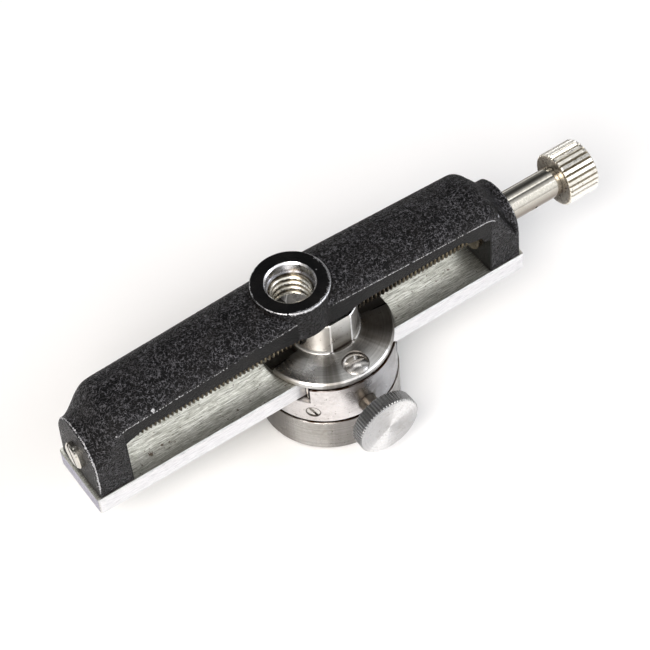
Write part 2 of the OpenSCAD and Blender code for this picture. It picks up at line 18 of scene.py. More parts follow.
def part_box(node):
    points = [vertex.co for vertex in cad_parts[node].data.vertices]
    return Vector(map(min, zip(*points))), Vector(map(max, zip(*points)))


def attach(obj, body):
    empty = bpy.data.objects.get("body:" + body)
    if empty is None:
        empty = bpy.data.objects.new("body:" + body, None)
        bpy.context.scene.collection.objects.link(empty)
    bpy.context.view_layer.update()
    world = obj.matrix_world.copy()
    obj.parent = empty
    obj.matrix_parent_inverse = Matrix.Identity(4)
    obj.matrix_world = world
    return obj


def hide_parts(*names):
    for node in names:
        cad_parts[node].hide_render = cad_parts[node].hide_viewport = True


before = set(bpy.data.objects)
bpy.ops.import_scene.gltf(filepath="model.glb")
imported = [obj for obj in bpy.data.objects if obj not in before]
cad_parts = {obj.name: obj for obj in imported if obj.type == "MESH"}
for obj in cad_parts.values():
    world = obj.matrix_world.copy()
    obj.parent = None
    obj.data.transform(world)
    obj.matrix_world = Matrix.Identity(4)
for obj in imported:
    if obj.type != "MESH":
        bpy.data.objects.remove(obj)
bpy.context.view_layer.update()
scene = bpy.context.scene
MM = 0.001

# %% [markdown]
# ## Sizes taken from the model
#
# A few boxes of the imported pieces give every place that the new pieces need: the
# bar's upper face, the screw's axis, the turret's drum and the clamp's axis.
# Each origin is the place that a group of pieces is drawn around.

# %% Sizes from the frame


def span(node):
    """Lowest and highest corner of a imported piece, in millimetres."""
    low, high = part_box(node)
    return np.array(low) / MM, np.array(high) / MM


def middle(node):
    low, high = span(node)
    return (low + high) / 2


CONE_RISE = 2.8  # from the drum's top up to the foot of the cap's post

BAR_TOP = span("rail_bar")[1][2]
BAR_X = middle("rail_bar")[0]
SCREW_Z = middle("lead_screw")[2]
CLAMP_Z = middle("clamp_knob")[2]
CAST_LOW, CAST_HIGH = span("bridge")
DRUM_LOW, DRUM_HIGH = span("carriage_drum")
DISC_TOP = span("friction_washer")[0][2]
JOINT = DRUM_HIGH[2]
POST_FOOT = JOINT + CONE_RISE
RETAINER = middle("retaining_screw")
CAST_HALF = (CAST_HIGH[0] - CAST_LOW[0]) / 2
BOSS_TOP = CAST_HIGH[2] - BAR_TOP
BOSS_R = (CAST_HIGH[1] - CAST_LOW[1]) / 2
CAST_ORIGIN = (BAR_X, 0, BAR_TOP)
SCREW_ORIGIN = (BAR_X, 0, SCREW_Z)
CLAMP_ORIGIN = (0, 0, CLAMP_Z)
print("bar top", round(BAR_TOP, 2), "screw axis", round(SCREW_Z, 2),
      "clamp axis", round(CLAMP_Z, 2))
print("casting half", round(CAST_HALF, 2), "boss top", round(BOSS_TOP, 2),
      "boss radius", round(BOSS_R, 2))

# %% [markdown]
# ## Camera
#
# The photograph looks down from the left end. Its angles, its distance and its lens
# were found by lining up the bar, the boss and the round platform.

# %% Camera
CAMERA_AZIMUTH = -30.11  # degrees, as are the next two
CAMERA_ELEVATION = 51.87
CAMERA_ROLL = -5.44
CAMERA_PLACE = (-142.34, -245.98, 384.57)
CAMERA_LENS = 124.83
SENSOR_WIDTH = 36
NEAREST_SEEN = 10


def make_camera():
    azimuth, elevation, roll = map(math.radians, (CAMERA_AZIMUTH, CAMERA_ELEVATION, CAMERA_ROLL))
    back = Vector((math.sin(azimuth) * math.cos(elevation),
                   -math.cos(azimuth) * math.cos(elevation), math.sin(elevation)))
    right = Vector((math.cos(azimuth), math.sin(azimuth), 0))
    up = back.cross(right)
    right, up = (math.cos(roll) * right + math.sin(roll) * up,
                 math.cos(roll) * up - math.sin(roll) * right)
    data = bpy.data.cameras.new("camera")
    data.lens = CAMERA_LENS
    data.sensor_width = SENSOR_WIDTH
    data.clip_start = NEAREST_SEEN * MM
    camera = bpy.data.objects.new("camera", data)
    camera.matrix_world = (Matrix.Translation(Vector(CAMERA_PLACE) * MM)
                           @ Matrix((right, up, back)).transposed().to_4x4())
    scene.collection.objects.link(camera)
    scene.camera = camera
    return camera


camera = make_camera()
print("camera at", tuple(round(v, 3) for v in camera.location))

# %% [markdown]
# ## Helpers for shapes
#
# Most pieces are turned on a lathe, so one function makes a ring of points for each
# place along an axis. The radius may change with the angle too, which gives threads,
# flutes and knurls from the same few lines. Holes are cut out afterwards.

# %% Shape helpers


def mesh_piece(name, points, faces, material=None):
    """A mesh object from points in millimetres."""
    data = bpy.data.meshes.new(name)
    data.from_pydata([tuple(p) for p in np.asarray(points) * MM], [], faces)
    data.update()
    piece = bpy.data.objects.new(name, data)
    scene.collection.objects.link(piece)
    if material:
        data.materials.append(material)
    return piece


def turned(name, profile, segments, axis, origin, shape=None, material=None):
    """A solid of revolution. profile: (along, radius) from end to end, radius > 0;
    shape(angle, along, radius) may change the radius."""
    along = np.array([p[0] for p in profile])[:, None]
    radius = np.array([p[1] for p in profile])[:, None]
    angle = np.linspace(0, 2 * np.pi, segments, endpoint=False)[None, :]
    if shape is None:
        r = np.broadcast_to(radius, (len(profile), segments))
    else:
        r = shape(angle, along, radius)
    side, lift = {"X": ((0, 1, 0), (0, 0, 1)), "Y": ((0, 0, 1), (1, 0, 0)),
                  "Z": ((1, 0, 0), (0, 1, 0))}[axis]
    ahead = np.cross(side, lift)
    points = (np.array(origin) + (along * np.ones_like(angle))[..., None] * ahead
              + (r * np.cos(angle))[..., None] * np.array(side)
              + (r * np.sin(angle))[..., None] * np.array(lift))
    rows, n = len(profile), segments
    points = points.reshape(-1, 3)
    faces = [[i * n + j, i * n + (j + 1) % n, (i + 1) * n + (j + 1) % n, (i + 1) * n + j]
             for i in range(rows - 1) for j in range(n)]
    ends = [np.array(origin) + profile[k][0] * ahead for k in (0, -1)]
    first, last = len(points), len(points) + 1
    faces += [[first, (j + 1) % n, j] for j in range(n)]
    faces += [[last, (rows - 1) * n + j, (rows - 1) * n + (j + 1) % n] for j in range(n)]
    return mesh_piece(name, np.vstack([points, ends]), faces, material)


def combine(piece, tools, operation="DIFFERENCE"):
    """Cuts the tools out of a piece, or joins them to it, and deletes the tools."""
    for tool in tools:
        step = piece.modifiers.new("step", "BOOLEAN")
        step.operation = operation
        step.solver = "MANIFOLD"
        step.object = tool
    bpy.context.view_layer.update()
    result = bpy.data.meshes.new_from_object(
        piece.evaluated_get(bpy.context.evaluated_depsgraph_get()))
    piece.modifiers.clear()
    old = piece.data
    piece.data = result
    bpy.data.meshes.remove(old)
    for tool in tools:
        data = tool.data
        bpy.data.objects.remove(tool)
        bpy.data.meshes.remove(data)
    result.name = piece.name
    return piece


def smooth(piece, degrees=40):
    """Smooth shading, with edges sharper than the given angle kept crisp."""
    piece.data.shade_smooth()
    piece.data.set_sharp_from_angle(angle=math.radians(degrees))
    return piece


def steps(start, end, count):
    return [start + (end - start) * i / count for i in range(count + 1)]


def finish_piece(piece, body, node):
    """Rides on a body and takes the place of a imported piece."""
    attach(piece, body)
    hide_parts(node)
    print(piece.name, len(piece.data.polygons), "faces on", body)


# %% [markdown]
# ## Helpers for materials
#
# Colours are written the way a picture shows them, as sRGB hex values, and turned
# into the linear values that the renderer wants. One small function adds a node.
# The others say in a word what a few nodes do, such as where grime gathers, since
# every finish below is built from the same few ideas.

# %% Material helpers


def linear(hex_colour):
    """An sRGB hex colour as linear red, green, blue and alpha."""
    parts = [int(hex_colour[i:i + 2], 16) / 255 for i in (1, 3, 5)]
    return [c / 12.92 if c <= 0.04045 else ((c + 0.055) / 1.055) ** 2.4 for c in parts] + [1]


def grey(share):
    """The hex colour of a grey, from its share of white."""
    return "#%02x%02x%02x" % ((round(255 * share),) * 3)


def add(tree, kind, values=None):
    """Adds one node. Each value is a property of it or goes to one of its inputs, as a
    link where it is another node's socket."""
    node = tree.nodes.new("ShaderNode" + kind)
    for name, value in (values or {}).items():
        if isinstance(value, bpy.types.NodeSocket):
            tree.links.new(value, node.inputs[name])
        elif isinstance(name, str) and name in node.bl_rna.properties:
            setattr(node, name, value)
        else:
            node.inputs[name].default_value = value
    return node


def new_material(name, **settings):
    """A material with one Principled shader, its sockets set to plain values."""
    material = bpy.data.materials.new(name)
    material.use_nodes = True
    tree = material.node_tree
    tree.nodes.clear()
    shader = add(tree, "BsdfPrincipled", settings)
    add(tree, "OutputMaterial", {"Surface": shader.outputs["BSDF"]})
    return material, tree, shader


def ramp(tree, value, stops, interpolation="LINEAR"):
    """Colours over a value. stops: (place, hex colour)."""
    node = add(tree, "ValToRGB", {"Fac": value})
    node.color_ramp.interpolation = interpolation
    points = node.color_ramp.elements
    for point, (place, colour) in zip((points[0], points[-1]), (stops[0], stops[-1])):
        point.position = place
        point.color = linear(colour)
    for place, colour in stops[1:-1]:
        points.new(place).color = linear(colour)
    return node.outputs["Color"]


def blend(tree, amount, first, second):
    """Lays the second colour over the first. Each is a socket or a hex colour."""
    first, second = [linear(c) if isinstance(c, str) else c for c in (first, second)]
    return add(tree, "Mix", {"data_type": "RGBA", 0: amount, 6: first, 7: second}).outputs[2]


def times(tree, *values):
    """The product of values, each a socket or a plain number."""
    product = values[0]
    for value in values[1:]:
        product = add(tree, "Math", {"operation": "MULTIPLY", 0: product, 1: value}).outputs[0]
    return product


def total(tree, first, second):
    """The sum of two values, each a socket or a plain number."""
    return add(tree, "Math", {"operation": "ADD", 0: first, 1: second}).outputs[0]


def unsigned(tree, value):
    return add(tree, "Math", {"operation": "ABSOLUTE", 0: value}).outputs[0]


def larger(tree, first, second):
    return add(tree, "Math", {"operation": "MAXIMUM", 0: first, 1: second}).outputs[0]


def spread(tree, value, low, high, start=0.0, end=1.0):
    """Maps a value from low..high to start..end, clamped."""
    return add(tree, "MapRange", {"Value": value, "From Min": low, "From Max": high,
                                  "To Min": start, "To Max": end}).outputs["Result"]


def fade(tree, length, low_mm, high_mm, start=0.0, end=1.0):
    """Maps a length in metres, between two places in millimetres, to start..end."""
    return spread(tree, length, low_mm * MM, high_mm * MM, start, end)


def place_of(tree, stretch=None, centre_mm=None):
    """Object coordinates, the row's own metres, which ride with the piece. They may be
    stretched, or counted from a place on it."""
    place = add(tree, "TexCoord").outputs["Object"]
    if stretch is not None:
        place = add(tree, "VectorMath",
                    {"operation": "MULTIPLY", 0: place, 1: stretch}).outputs[0]
    if centre_mm is not None:
        place = add(tree, "VectorMath", {"operation": "SUBTRACT", 0: place,
                                         1: Vector(centre_mm) * MM}).outputs[0]
    return place


def coordinate(tree, axis, centre_mm=None):
    """One object coordinate, in metres."""
    place = place_of(tree, centre_mm=centre_mm)
    return add(tree, "SeparateXYZ", {"Vector": place}).outputs[axis]


def facing(tree, axis):
    """Part of the surface's direction that lies along an axis, from -1 to 1."""
    normal = add(tree, "NewGeometry").outputs["Normal"]
    return add(tree, "SeparateXYZ", {"Vector": normal}).outputs[axis]


def lathe_coordinate(tree, centre_mm=(0, 0, 0), axis="Z"):
    """Radius, and radius plus length along the axis, in metres."""
    across = [0 if a == axis else 1 for a in "XYZ"]
    flat = add(tree, "VectorMath", {"operation": "MULTIPLY", 1: across,
                                    0: place_of(tree, centre_mm=centre_mm)}).outputs[0]
    radius = add(tree, "VectorMath", {"operation": "LENGTH", 0: flat}).outputs["Value"]
    return radius, total(tree, radius, coordinate(tree, axis, centre_mm))


def per_mm(size):
    """The scale of a pattern in metres whose features are `size` millimetres."""
    return 1 / (size * MM)


def speckle(tree, size_mm, detail=4, stretch=None, roughness=0.5):
    """A noise pattern with features of the given size."""
    return add(tree, "TexNoise", {"Vector": place_of(tree, stretch), "Scale": per_mm(size_mm),
                                  "Detail": detail, "Roughness": roughness}).outputs["Fac"]


def patchy(tree, size_mm, detail, low, high, start=0.0, end=1.0):
    """A speckle, with its values from low to high mapped to start..end."""
    return spread(tree, speckle(tree, size_mm, detail), low, high, start, end)


def hollows(tree, reach_mm, low=0.35, high=0.9):
    """1 in corners that little light reaches, 0 on open faces."""
    open_sky = add(tree, "AmbientOcclusion", {"Distance": reach_mm * MM, "samples": 6})
    return spread(tree, open_sky.outputs["AO"], low, high, 1, 0)


def near(tree, centre_mm, outer_mm, inner_mm=0):
    """1 out to the inner distance from a place on the piece, 0 beyond the outer one."""
    far = add(tree, "VectorMath", {"operation": "DISTANCE", 0: place_of(tree),
                                   1: Vector(centre_mm) * MM}).outputs["Value"]
    return fade(tree, far, inner_mm, outer_mm, 1, 0)


def band(tree, length, centre_mm, half_mm, soft_mm=0.05):
    """1 where a length lies within half_mm of a centre, 0 elsewhere."""
    away = unsigned(tree, total(tree, length, -centre_mm * MM))
    return fade(tree, away, half_mm, half_mm + soft_mm, 1, 0)


def feed(tree, shader, **sources):
    """Links values to the shader's sockets, with _ for a space in their names."""
    for name, source in sources.items():
        tree.links.new(source, shader.inputs[name.replace("_", " ")])


def bumpy(tree, shader, height, strength, depth_mm):
    """Lets a pattern of heights tilt the light on the surface."""
    bump = add(tree, "Bump", {"Height": height, "Strength": strength,
                              "Distance": depth_mm * MM})
    feed(tree, shader, Normal=bump.outputs["Normal"])


def round_sheen(tree, shader, axis):
    """Turns the stretched highlight of brushed metal round an axis."""
    tangent = add(tree, "Tangent", {"direction_type": "RADIAL", "axis": axis})
    feed(tree, shader, Tangent=tangent.outputs["Tangent"])


def ready(material):
    """Says which finish is made, and from how many nodes."""
    print(material.name, "from", len(material.node_tree.nodes), "nodes")
    return material


# %% [markdown]
# ## The sheen of a turned face
#
# Fine circular scratches gather a room's light into spokes that run out from the middle. They
# could be left to the shader alone, but the real ones are sharper than its stretched highlight,
# so a ramp over the angle paints their light and dark part into the colour, as a painted sheen.

# %% Spun sheen
STREAKS_PER_TURN = 38.0
STREAK_WANDER = 0.018  # as a share of a turn
SPOKE_STRENGTH = 0.85


def painted_spun_sheen(tree, colour, centre_mm, axis, spokes, dark, light):
    """Painted light and dark sectors of sheen over a colour. spokes: (share of a turn, value
    0..1).
    """
    upward = coordinate(tree, "Y" if axis == "Z" else "Z", centre_mm)
    angle = add(tree, "Math", {"operation": "ARCTAN2", 0: upward,
                               1: coordinate(tree, "X", centre_mm)}).outputs[0]
    turn = spread(tree, angle, -math.pi, math.pi)
    streaks = add(tree, "TexNoise", {"noise_dimensions": "1D", "W": turn, "Detail": 4,
                                     "Scale": STREAKS_PER_TURN, "Roughness": 0.6})
    turn = total(tree, turn, spread(tree, streaks.outputs["Fac"], 0.2, 0.8,
                                    -STREAK_WANDER, STREAK_WANDER))
    share = ramp(tree, turn, [(place, grey(value)) for place, value in spokes], "B_SPLINE")
    bright = add(tree, "RGBToBW", {"Color": share}).outputs["Val"]
    up = spread(tree, bright, 0.22, 1, 0, SPOKE_STRENGTH)
    down = spread(tree, bright, 0, 0.2, SPOKE_STRENGTH, 0)
    return blend(tree, down, blend(tree, up, colour, light), dark)


# %% [markdown]
# ## The cap's post and slit
#
# The post is brighter than the cone it stands on. Its flats get painted shade, near-black at the
# foot and lighter higher up, and a painted highlight along their edges. A fine black slit runs
# along the bar, and behind it the cap gets a painted shadow of the casting's beam, in brown. All
# of these are places on one piece, so they are colours laid over its finish by height, radius
# and direction.

# %% Post and slit
SLIT_Y, SLIT_HALF = -2.2, 0.13
POST_EDGE = (7.4, 8.2)  # the radii where the post's own tone ends
SLIT_STARTS = (7.6, 8)
FLAT_HALF, FLAT_EDGE = 2.5, 0.16
FLAT_FADE = 7  # the height over which the painted shade on a flat turns to painted light
FRONT_FLAT = (-6.5, -6.2)


def post_marks_and_painted_light(tree, colour, radius):
    height, across = coordinate(tree, "Z"), coordinate(tree, "Y")
    on_post = times(tree, fade(tree, height, POST_FOOT - 0.5, POST_FOOT),
                    fade(tree, radius, *POST_EDGE, 1, 0))
    colour = blend(tree, on_post, colour, "#b0afac")
    # Painted shade and light on the flats: near-black at the foot, lighter higher up.
    flat = times(tree, spread(tree, facing(tree, "Y"), -0.99, -0.97, 1, 0), on_post)
    shade = ramp(tree, fade(tree, height, POST_FOOT, POST_FOOT + FLAT_FADE),
                 [(0, "#0d0b09"), (0.05, "#0d0b09"), (0.09, "#57534d"), (0.45, "#8b8984"),
                  (1, "#d2d1cd")])
    colour = blend(tree, flat, colour, shade)
    on_cone = fade(tree, height, POST_FOOT - 0.6, POST_FOOT - 0.4, 1, 0)
    slit = times(tree, band(tree, across, SLIT_Y, SLIT_HALF, 0.06), on_cone,
                 fade(tree, radius, *SLIT_STARTS))
    colour = blend(tree, slit, colour, "#060504")
    # Painted shadow of the casting's beam, in brown, on the cap behind the slit.
    beam_shadow = times(tree, fade(tree, across, SLIT_Y, SLIT_Y + 0.3), on_cone, 0.6)
    colour = blend(tree, beam_shadow, colour, "#2b241a")
    # Painted highlight along the edges of the front flat.
    edge_highlight = band(tree, unsigned(tree, coordinate(tree, "X")), FLAT_HALF, FLAT_EDGE, 0.06)
    edge_highlight = times(tree, edge_highlight, on_post, fade(tree, across, *FRONT_FLAT, 1, 0))
    return blend(tree, edge_highlight, colour, "#fbfbfb")


# %% [markdown]
# ## Steel turned on a lathe
#
# A lathe leaves fine rings and a sheen that runs round the piece. A one-way noise
# that reads radius plus height draws rings on the flat faces and lines round the
# walls. Real tool marks are about a tenth of a millimetre apart, which this view is
# too far off to show, so they are drawn at 0.3 mm. Old oil turns brown where faces
# meet, and lies in thin spots elsewhere.

# %% Turned steel
RING_MM = 0.3


def turned_steel(name, dark, light, roughness, spokes, spoke_dark, spoke_light="#f4f4f4",
                 axis="Z", centre_mm=(0, 0, 0), anisotropic=0.75, grime_reach=0.7,
                 smudges=(), seams=(), rings_of_oil=(), post=False):
    """Steel with the rings a lathe leaves, and a sheen that runs round its axis, partly from the
    shader and partly painted.

    smudges: (place, reach, strength) of brown film; seams: (height, half width) of
    oily joint lines; rings_of_oil: (place, inner, outer) distance of a stained spot."""
    material, tree, shader = new_material(name, Metallic=1.0, Anisotropic=anisotropic)
    radius, along = lathe_coordinate(tree, centre_mm, axis)
    rings = add(tree, "TexNoise", {"noise_dimensions": "1D", "W": along, "Detail": 4,
                                   "Scale": per_mm(RING_MM), "Roughness": 0.75})
    rings = rings.outputs["Fac"]
    colour = ramp(tree, rings, [(0.3, dark), (0.7, light)])
    # Painted sheen: light and dark sectors laid over the rings.
    colour = painted_spun_sheen(tree, colour, centre_mm, axis, spokes, spoke_dark, spoke_light)
    if post:
        colour = post_marks_and_painted_light(tree, colour, radius)
    film = times(tree, patchy(tree, 7, 5, 0.45, 0.75), patchy(tree, 0.9, 4, 0.3, 0.7), 0.45)
    colour = blend(tree, film, colour, "#7d7466")
    for centre, reach, strength in smudges:
        patch = times(tree, near(tree, centre, reach),
                      patchy(tree, 1.6, 5, 0.3, 0.6, 0.3, strength))
        colour = blend(tree, patch, colour, "#2e261e")
    corner = times(tree, hollows(tree, grime_reach), patchy(tree, 1.5, 4, 0.3, 0.55, 0.35, 1))
    colour = blend(tree, corner, colour, "#3a2716")
    for place, half in seams:
        line = times(tree, band(tree, coordinate(tree, "Z"), place, half, 0.08),
                     patchy(tree, 2.5, 4, 0.3, 0.6, 0.6, 1))
        colour = blend(tree, line, colour, "#2a1a0e")
    for place, inner, outer in rings_of_oil:
        colour = blend(tree, times(tree, near(tree, place, outer, inner), 0.9), colour,
                       "#2f2820")
    pits = times(tree, patchy(tree, 0.5, 2, 0.68, 0.74), 0.7)
    colour = blend(tree, pits, colour, "#4c4438")
    rough = patchy(tree, 5, 5, 0.3, 0.7, roughness * 0.8, roughness * 1.3)
    feed(tree, shader, Base_Color=colour,
         Roughness=total(tree, rough, times(tree, corner, 0.3)))
    bumpy(tree, shader, rings, 0.25, 0.012)
    round_sheen(tree, shader, axis)
    return ready(material)


# %% [markdown]
# ## The four turned finishes
#
# They differ in how they were last used. The drum is rubbed bright, with painted light and dark
# sides, and has a brown stain where the clamp's shaft enters it, which is also painted shade of
# the knob. The cap is greyer, with sharp painted spokes of light and painted shade behind its
# slit. The platform's wall is dull, with one painted light side, and the clamp knob is wiped
# clean by fingers and has painted fans of light.

# %% Turned finishes
DRUM_WALL_R = 14.7
retainer_face = (RETAINER * (DRUM_WALL_R / np.hypot(*RETAINER[:2])) * (1, 1, 0)
                 + (0, 0, RETAINER[2]))

# Satin steel: painted soft light and dark sides, with brown stains that fade out. The stain by
# the clamp's shaft is also painted shade and reflection of the knob in front of it.
DRUM = turned_steel("turned_drum_steel", "#c6c3c3", "#e4e1e1", 0.27,
                    smudges=(((0.5, -14.6, CLAMP_Z + 1.5), 5.5, 0.95),
                             ((9.5, -11, 18), 4.5, 0.75)),
                    seams=((JOINT, 0.13), (DRUM_LOW[2], 0.1)),
                    rings_of_oil=((retainer_face, 1.5, 1.7),),
                    spokes=((0, 0.15), (0.06, 0.4), (0.1, 0.8), (0.18, 1), (0.24, 0.15),
                            (0.3, 0.08), (0.36, 0.3), (0.42, 0.15), (0.6, 0.2), (1, 0.15)),
                    spoke_light="#ebe6e4", spoke_dark="#8f9298")

# Faced steel: grey, with clear painted spokes of light from the middle out.
CAP = turned_steel("turned_cap_steel", "#a9a8a5", "#dcdbd9", 0.3, anisotropic=0.85,
                   grime_reach=0.5, seams=((JOINT, 0.16),), post=True, spoke_dark="#57524b",
                   smudges=(((9.5, -4.5, 22), 7, 0.5), ((-9.5, -4, 22), 6, 0.15),
                            ((4, -10, 22), 3.5, 0.15)),
                   spokes=((0, 0.05), (0.06, 0.25), (0.1, 0.4), (0.125, 0.9), (0.15, 0.1),
                           (0.19, 0.0), (0.23, 0.65), (0.29, 0.7), (0.34, 0.2), (0.4, 0.0),
                           (0.5, 0.0), (0.6, 0.4), (1, 0.0)))

# Dull turned steel: a darker wall with one painted soft light side.
PLATFORM = turned_steel("turned_disc_steel", "#9c9a97", "#c8c6c3", 0.27,
                        seams=((DISC_TOP, 0.1),), spoke_dark="#514c48",
                        spokes=((0, 0.0), (0.05, 0.0), (0.085, 0.5), (0.12, 0.6),
                                (0.17, 0.25), (0.3, 0.2), (0.4, 0.5), (0.5, 0.1), (1, 0.0)))

# Clean faced steel: pale, with two opposite painted fans of light.
CLAMP = turned_steel("turned_knob_steel", "#d2d2d2", "#ececed", 0.25, axis="Y",
                     centre_mm=CLAMP_ORIGIN, anisotropic=0.85, grime_reach=0.35,
                     spoke_dark="#a6a6a7",
                     spokes=((0, 0.25), (0.1, 0.2), (0.16, 0.9), (0.22, 0.25), (0.42, 0.08),
                             (0.56, 0.25), (0.64, 1), (0.7, 0.3), (0.86, 0.02), (1, 0.25)))

# %% [markdown]
# ## Steel drawn along its length
#
# The bar was drawn and then rubbed lengthwise, so a noise that is stretched twelvefold along X
# gives streaks. They are 0.18 mm wide, a little coarser than the real ones, so that they show.
# Its front and its ends get painted light and shade: a tone for each, chosen by the way the face
# looks. Small brown pits show where it once rusted.

# %% Bar steel
STREAK_MM, WIDE_STREAK_MM = 0.18, 1.6
RUST_SPOTS = ((-44.6, -4.3, 0.85), (-40.1, -4.1, 0.35), (-41.7, -3.8, 0.4),
              (-47.4, -5.5, 0.3), (-36.5, -2.4, 0.25), (-25, -5.6, 0.35),
              (30.1, -1.8, 0.35), (26.3, -2.7, 0.3))


def bar_steel():
    material, tree, shader = new_material("brushed_bar_steel", Metallic=1.0, Anisotropic=0.6)
    streaks = speckle(tree, STREAK_MM, 5, (0.08, 1, 1), 0.7)
    wide = speckle(tree, WIDE_STREAK_MM, 3, (0.06, 1, 1), 0.6)
    colour = ramp(tree, streaks, [(0.34, "#83837a"), (0.47, "#c2c2b8"), (0.62, "#fafaf4")])
    colour = blend(tree, spread(tree, wide, 0.4, 0.65, 0, 0.25), colour, "#a09f95")
    pits = patchy(tree, 0.55, 3, 0.64, 0.71)
    for x, y, size in RUST_SPOTS:
        spot = times(tree, near(tree, (x, y, BAR_TOP), size),
                     patchy(tree, 0.25, 4, 0.35, 0.6, 0, 1.8))
        pits = larger(tree, pits, spread(tree, spot, 0.15, 0.5))
    colour = blend(tree, times(tree, pits, 0.8), colour, "#4f3a22")
    colour = blend(tree, times(tree, hollows(tree, 0.6), 0.85), colour, "#2c2319")
    side = ramp(tree, streaks, [(0.3, "#cacacd"), (0.55, "#ebebed")])
    end = ramp(tree, speckle(tree, 0.4, 4), [(0.35, "#8f8e9c"), (0.65, "#bdbcc8")])
    # Painted light and shade: the front and the ends get their own tones by the way each face
    # looks.
    for axis, low, high, painted_face_tone in (("Y", 0.5, 0.8, side), ("X", 0.8, 0.95, end)):
        away = spread(tree, unsigned(tree, facing(tree, axis)), low, high)
        colour = blend(tree, away, colour, painted_face_tone)
    feed(tree, shader, Base_Color=colour, Roughness=spread(tree, streaks, 0.3, 0.7, 0.5, 0.36))
    bumpy(tree, shader, streaks, 0.3, 0.01)
    round_sheen(tree, shader, "X")
    return ready(material)


BAR = bar_steel()

# %% [markdown]
# ## Small steel and brass pieces
#
# Polished steel has hair scratches and a thin uneven film, and oil gathers in its
# corners. One function makes them all, with the tones and the roughness of each. Real
# hair scratches are too fine to show, so they are drawn a quarter millimetre wide.

# %% Worn metal
SCRATCH_MM = 0.25


def worn_metal(name, dark, light, roughness, oil="#3a2a1a", oil_reach=0.4, oil_amount=0.8,
               film="#8a8478", film_amount=0.25, underside_shade=None, stripe=None):
    """A metal with fine scratches, a thin uneven film, and oil in its corners.
    under: a colour of painted shade for the side that faces down; stripe: the Y and half width
    of the only part left in its own colour, the rest near-black."""
    material, tree, shader = new_material(name, Metallic=1.0)
    scratches = speckle(tree, SCRATCH_MM, 5, (1, 0.35, 0.6), 0.7)
    colour = ramp(tree, scratches, [(0.3, dark), (0.65, light)])
    colour = blend(tree, patchy(tree, 2.2, 4, 0.45, 0.7, 0, film_amount), colour, film)
    corner = times(tree, hollows(tree, oil_reach, 0.3, 0.85),
                   patchy(tree, 0.8, 4, 0.3, 0.55, 0.3, oil_amount))
    if underside_shade:
        # Painted shade on the side that faces down.
        colour = blend(tree, spread(tree, facing(tree, "Z"), 0.5, -0.1), colour, underside_shade)
    colour = blend(tree, corner, colour, oil)
    if stripe:
        colour = blend(tree, band(tree, coordinate(tree, "Y"), *stripe), "#0d0a07", colour)
    rough = patchy(tree, 1.8, 4, 0.3, 0.7, roughness * 0.75, roughness * 1.35)
    feed(tree, shader, Base_Color=colour,
         Roughness=total(tree, rough, times(tree, corner, 0.3)))
    bumpy(tree, shader, scratches, 0.12, 0.006)
    return ready(material)


# Ground and polished steel: bright, nearly mirror-like, faintly yellow.
BRIGHT = worn_metal("polished_steel", "#c6c2b8", "#dedad1", 0.1, film="#b3ab9b",
                    film_amount=0.2)
# The same on the knob's sleeve, whose lower side gets a painted shade.
STEM = worn_metal("polished_stem_steel", "#c6c2b8", "#dedad1", 0.12, film="#b3ab9b",
                  film_amount=0.2, underside_shade="#857d74")
# Screw heads, rubbed to a satin shine and dark only in their slots.
SCREW_HEAD = worn_metal("rubbed_screw_steel", "#c9c6c3", "#e6e3df", 0.22, oil_reach=0.25,
                        oil_amount=0.6)
# A washer under old oil: brown, with little shine.
OILY = worn_metal("oily_washer_steel", "#5d5344", "#8d816b", 0.3, film="#3a2f20",
                  film_amount=0.6)
# Steel left dark by oil, for the pieces that hardly show. On the sleeve's pin it also stands in
# for painted shade of the hole it sits in.
DARK = worn_metal("oiled_dark_steel", "#4a453e", "#7b746a", 0.34)
# Machined brass: yellow, with brown oil in its corners.
BRASS = worn_metal("machined_brass", "#a48c56", "#cbb27a", 0.27, oil="#3d2b12")
# The gib is pale in one stripe, and near-black everywhere else.
GIB = worn_metal("machined_gib_metal", "#d4cfc2", "#f2eee2", 0.27, oil="#3d2b12",
                 oil_reach=0.1, stripe=(-8.72, 0.22))

# %% [markdown]
# ## Metals whose colour follows the radius
#
# Threads and flutes get painted light on their crests, and their roots are dark, partly with
# brown oil and partly with painted shade. Both are places at a known distance from an axis, so a
# ramp over the radius colours them, whatever the shape of the groove.

# %% Grooved metals


def grooved_metal(name, axis, centre_mm, stops_mm, roughness, film, end_face=None):
    """A metal coloured by radius: grooves dark with brown oil and painted shade, crests with
    painted light. stops_mm: (radius, colour), outwards.
    """
    material, tree, shader = new_material(name, Metallic=1.0)
    radius = lathe_coordinate(tree, centre_mm, axis)[0]
    low, high = stops_mm[0][0], stops_mm[-1][0]
    colour = ramp(tree, fade(tree, radius, low, high),
                  [((r - low) / (high - low), c) for r, c in stops_mm])
    if end_face:
        colour = blend(tree, spread(tree, facing(tree, axis), -0.95, -0.8, 1, 0), colour,
                       end_face)
    colour = blend(tree, patchy(tree, 1.6, 5, 0.42, 0.7, 0, 0.4), colour, film)
    spots = times(tree, patchy(tree, 0.45, 3, 0.62, 0.7), 0.7)
    colour = blend(tree, spots, colour, "#57431f")
    colour = blend(tree, times(tree, hollows(tree, 0.5), 0.85), colour, "#2e2010")
    feed(tree, shader, Base_Color=colour,
         Roughness=patchy(tree, 0.8, 4, 0.3, 0.7, roughness * 0.7, roughness * 1.4))
    bumpy(tree, shader, speckle(tree, 0.18, 4), 0.12, 0.008)
    return ready(material)


